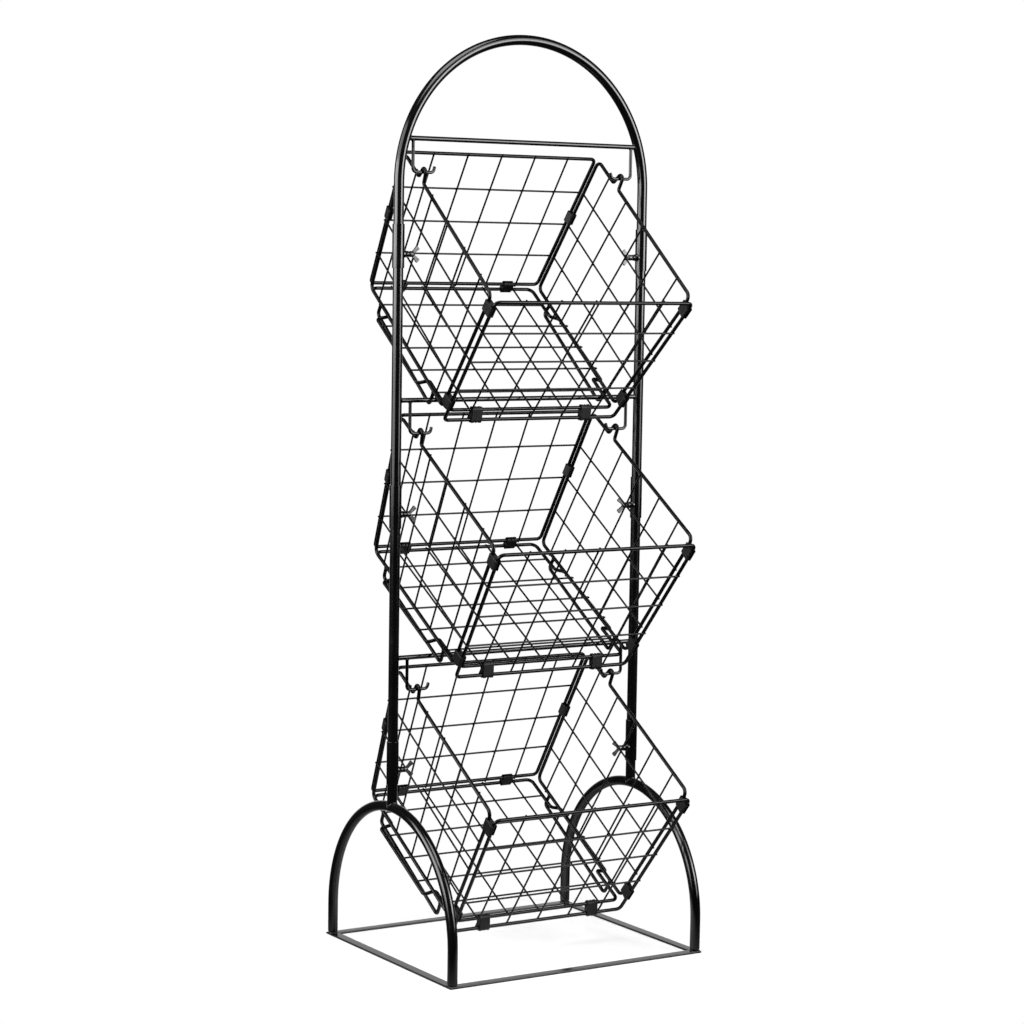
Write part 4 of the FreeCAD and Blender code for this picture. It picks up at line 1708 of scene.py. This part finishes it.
@dataclass
class Studio:
    """The pale floor, the soft light and the camera at the photograph's angle. Metres.

    Gloss sees the white world only within an angle of straight ahead, which the backdrop's edge
    gives as a cosine.
    """

    camera_place: Vector = field(default_factory=lambda: Vector((-1.8253, -2.8918, 0.8678)))
    camera_right: Vector = field(default_factory=lambda: Vector((0.8477, -0.5303, 0.0156)))
    camera_up: Vector = field(default_factory=lambda: Vector((0.0415, 0.0956, 0.9946)))
    sensor_width: float = 36.0
    lens: float = 96.31
    shift_x: float = 0.0002
    shift_y: float = 0.0295
    floor_fade_start: float = 0.0
    floor_fade_end: float = 0.38
    floor_sides: int = 96
    floor_colour: str = "#f2f2f2"
    floor_glow: float = 0.16
    dim_strength: float = 0.03
    backdrop_edge: float = 0.78
    aim_height: float = 0.75
    lamps: tuple[Softbox, ...] = (
        Softbox("left_softbox", turn=-62, lift=1.4, distance=2.4, width=2.9, height=2.2, power=72.0),
        Softbox("right_softbox", turn=68, lift=1.4, distance=2.4, width=1.3, height=2.2, power=40.0),
        Softbox("left_strip_light", turn=-62, lift=1.13, distance=2.35, width=2.9, height=0.8, power=41.0),
        Softbox("right_strip_light", turn=68, lift=1.13, distance=2.35, width=1.3, height=0.8, power=24.0),
        Softbox("top_softbox", turn=10, lift=2.9, distance=0.9, width=1.6, height=1.6, power=46.0))

    def build(self) -> None:
        """Make the floor, the world, the lamps and the camera."""
        self.build_floor()
        self.build_world()
        self.build_lamps()
        self.build_camera()
        bpy.context.scene.view_settings.view_transform = "Standard"

    def ray_kinds(self, tree: bpy.types.NodeTree) -> tuple[bpy.types.NodeSocket, bpy.types.NodeSocket]:
        """Tell what the camera sees directly from what it sees in gloss or through glass.

        Args:
            tree: The material's or the world's tree.

        Returns:
            A socket for each, which is 1 for such a ray and 0 for others.
        """
        rays = add_node(tree, "ShaderNodeLightPath").outputs
        gloss = add_node(tree, "ShaderNodeMath", {
            0: rays["Is Glossy Ray"], 1: rays["Is Transmission Ray"]}, operation="MAXIMUM")
        return rays["Is Camera Ray"], gloss.outputs[0]

    def build_floor(self) -> None:
        """Make the floor, which glows a little for the camera, keeps the shadow and fades out far away."""
        shape = bmesh.new()
        bmesh.ops.create_circle(shape, cap_ends=True, segments=self.floor_sides, radius=self.floor_fade_end)
        mesh = bpy.data.meshes.new("floor")
        shape.to_mesh(mesh)
        shape.free()
        material, tree = new_material("pale_floor")
        matt = add_node(tree, "ShaderNodeBsdfDiffuse", {"Color": linear(self.floor_colour)})
        direct, gloss = self.ray_kinds(tree)
        seen = add_node(tree, "ShaderNodeMath", {0: direct, 1: gloss}, operation="MAXIMUM")
        strength = add_node(tree, "ShaderNodeMath", {
            0: seen.outputs[0], 1: self.floor_glow}, operation="MULTIPLY")
        glow = add_node(tree, "ShaderNodeEmission", {"Strength": strength.outputs[0]})
        both = add_node(tree, "ShaderNodeAddShader", {0: matt.outputs["BSDF"], 1: glow.outputs["Emission"]})
        place = add_node(tree, "ShaderNodeTexCoord").outputs["Object"]
        reach = add_node(tree, "ShaderNodeVectorMath", {0: place}, operation="LENGTH")
        fade = add_node(tree, "ShaderNodeMapRange", {
            "Value": reach.outputs["Value"], "From Min": self.floor_fade_start,
            "From Max": self.floor_fade_end}, interpolation_type="SMOOTHSTEP")
        clear = add_node(tree, "ShaderNodeBsdfTransparent")
        mix = add_node(tree, "ShaderNodeMixShader", {
            0: fade.outputs["Result"], 1: both.outputs["Shader"], 2: clear.outputs["BSDF"]})
        add_node(tree, "ShaderNodeOutputMaterial", {"Surface": mix.outputs["Shader"]})
        mesh.materials.append(material)
        add_object("floor", mesh)

    def build_world(self) -> None:
        """Make the world: white behind the object, and dim on the camera's side."""
        world = bpy.data.worlds.new("studio")
        bpy.context.scene.world = world
        world.use_nodes = True
        tree = world.node_tree
        tree.nodes.clear()
        way = add_node(tree, "ShaderNodeTexCoord").outputs["Generated"]
        ahead = self.camera_up.cross(self.camera_right).normalized()
        behind = add_node(tree, "ShaderNodeVectorMath", {0: way, 1: ahead}, operation="DOT_PRODUCT")
        fade = add_node(tree, "ShaderNodeMapRange", {
            "Value": behind.outputs["Value"], "From Min": self.backdrop_edge, "From Max": 1.0})
        direct, gloss = self.ray_kinds(tree)
        shown = add_node(tree, "ShaderNodeMath", {0: gloss, 1: fade.outputs["Result"]}, operation="MULTIPLY")
        white = add_node(tree, "ShaderNodeMath", {0: direct, 1: shown.outputs[0]}, operation="MAXIMUM")
        dim = add_node(tree, "ShaderNodeBackground", {"Color": WHITE, "Strength": self.dim_strength})
        pale = add_node(tree, "ShaderNodeBackground", {"Color": WHITE, "Strength": 1.0})
        mix = add_node(tree, "ShaderNodeMixShader", {
            0: white.outputs[0], 1: dim.outputs["Background"], 2: pale.outputs["Background"]})
        add_node(tree, "ShaderNodeOutputWorld", {"Surface": mix.outputs["Shader"]})

    def build_lamps(self) -> None:
        """Make a tall softbox with a strip light on each side of the camera, and one softbox overhead."""
        to_camera = Vector((self.camera_place.x, self.camera_place.y, 0)).normalized()
        for lamp in self.lamps:
            lamp.build(to_camera, Z_AXIS * self.aim_height)

    def build_camera(self) -> None:
        """Make the camera where the photograph was taken from."""
        data = bpy.data.cameras.new("camera")
        data.sensor_width = self.sensor_width
        data.lens = self.lens
        data.shift_x, data.shift_y = self.shift_x, self.shift_y
        camera = add_object("camera", data)
        right = self.camera_right.normalized()
        back = right.cross(self.camera_up).normalized()
        turn = Matrix((right, back.cross(right), back)).transposed().to_4x4()
        camera.matrix_world = Matrix.Translation(self.camera_place + Y_AXIS * STAND_DEPTH * MM) @ turn
        bpy.context.scene.camera = camera


def main() -> None:
    """Build the stand and its baskets, then the studio."""
    logging.basicConfig(level=logging.INFO, format="%(message)s")
    bench = Bench()
    stand = Stand()
    Base(stand, bench).build()
    for tier in Tier:
        Section(stand, bench, tier).build()
        Basket(stand, bench, tier).build()
    Studio().build()


if __name__ == "__main__":
    main()
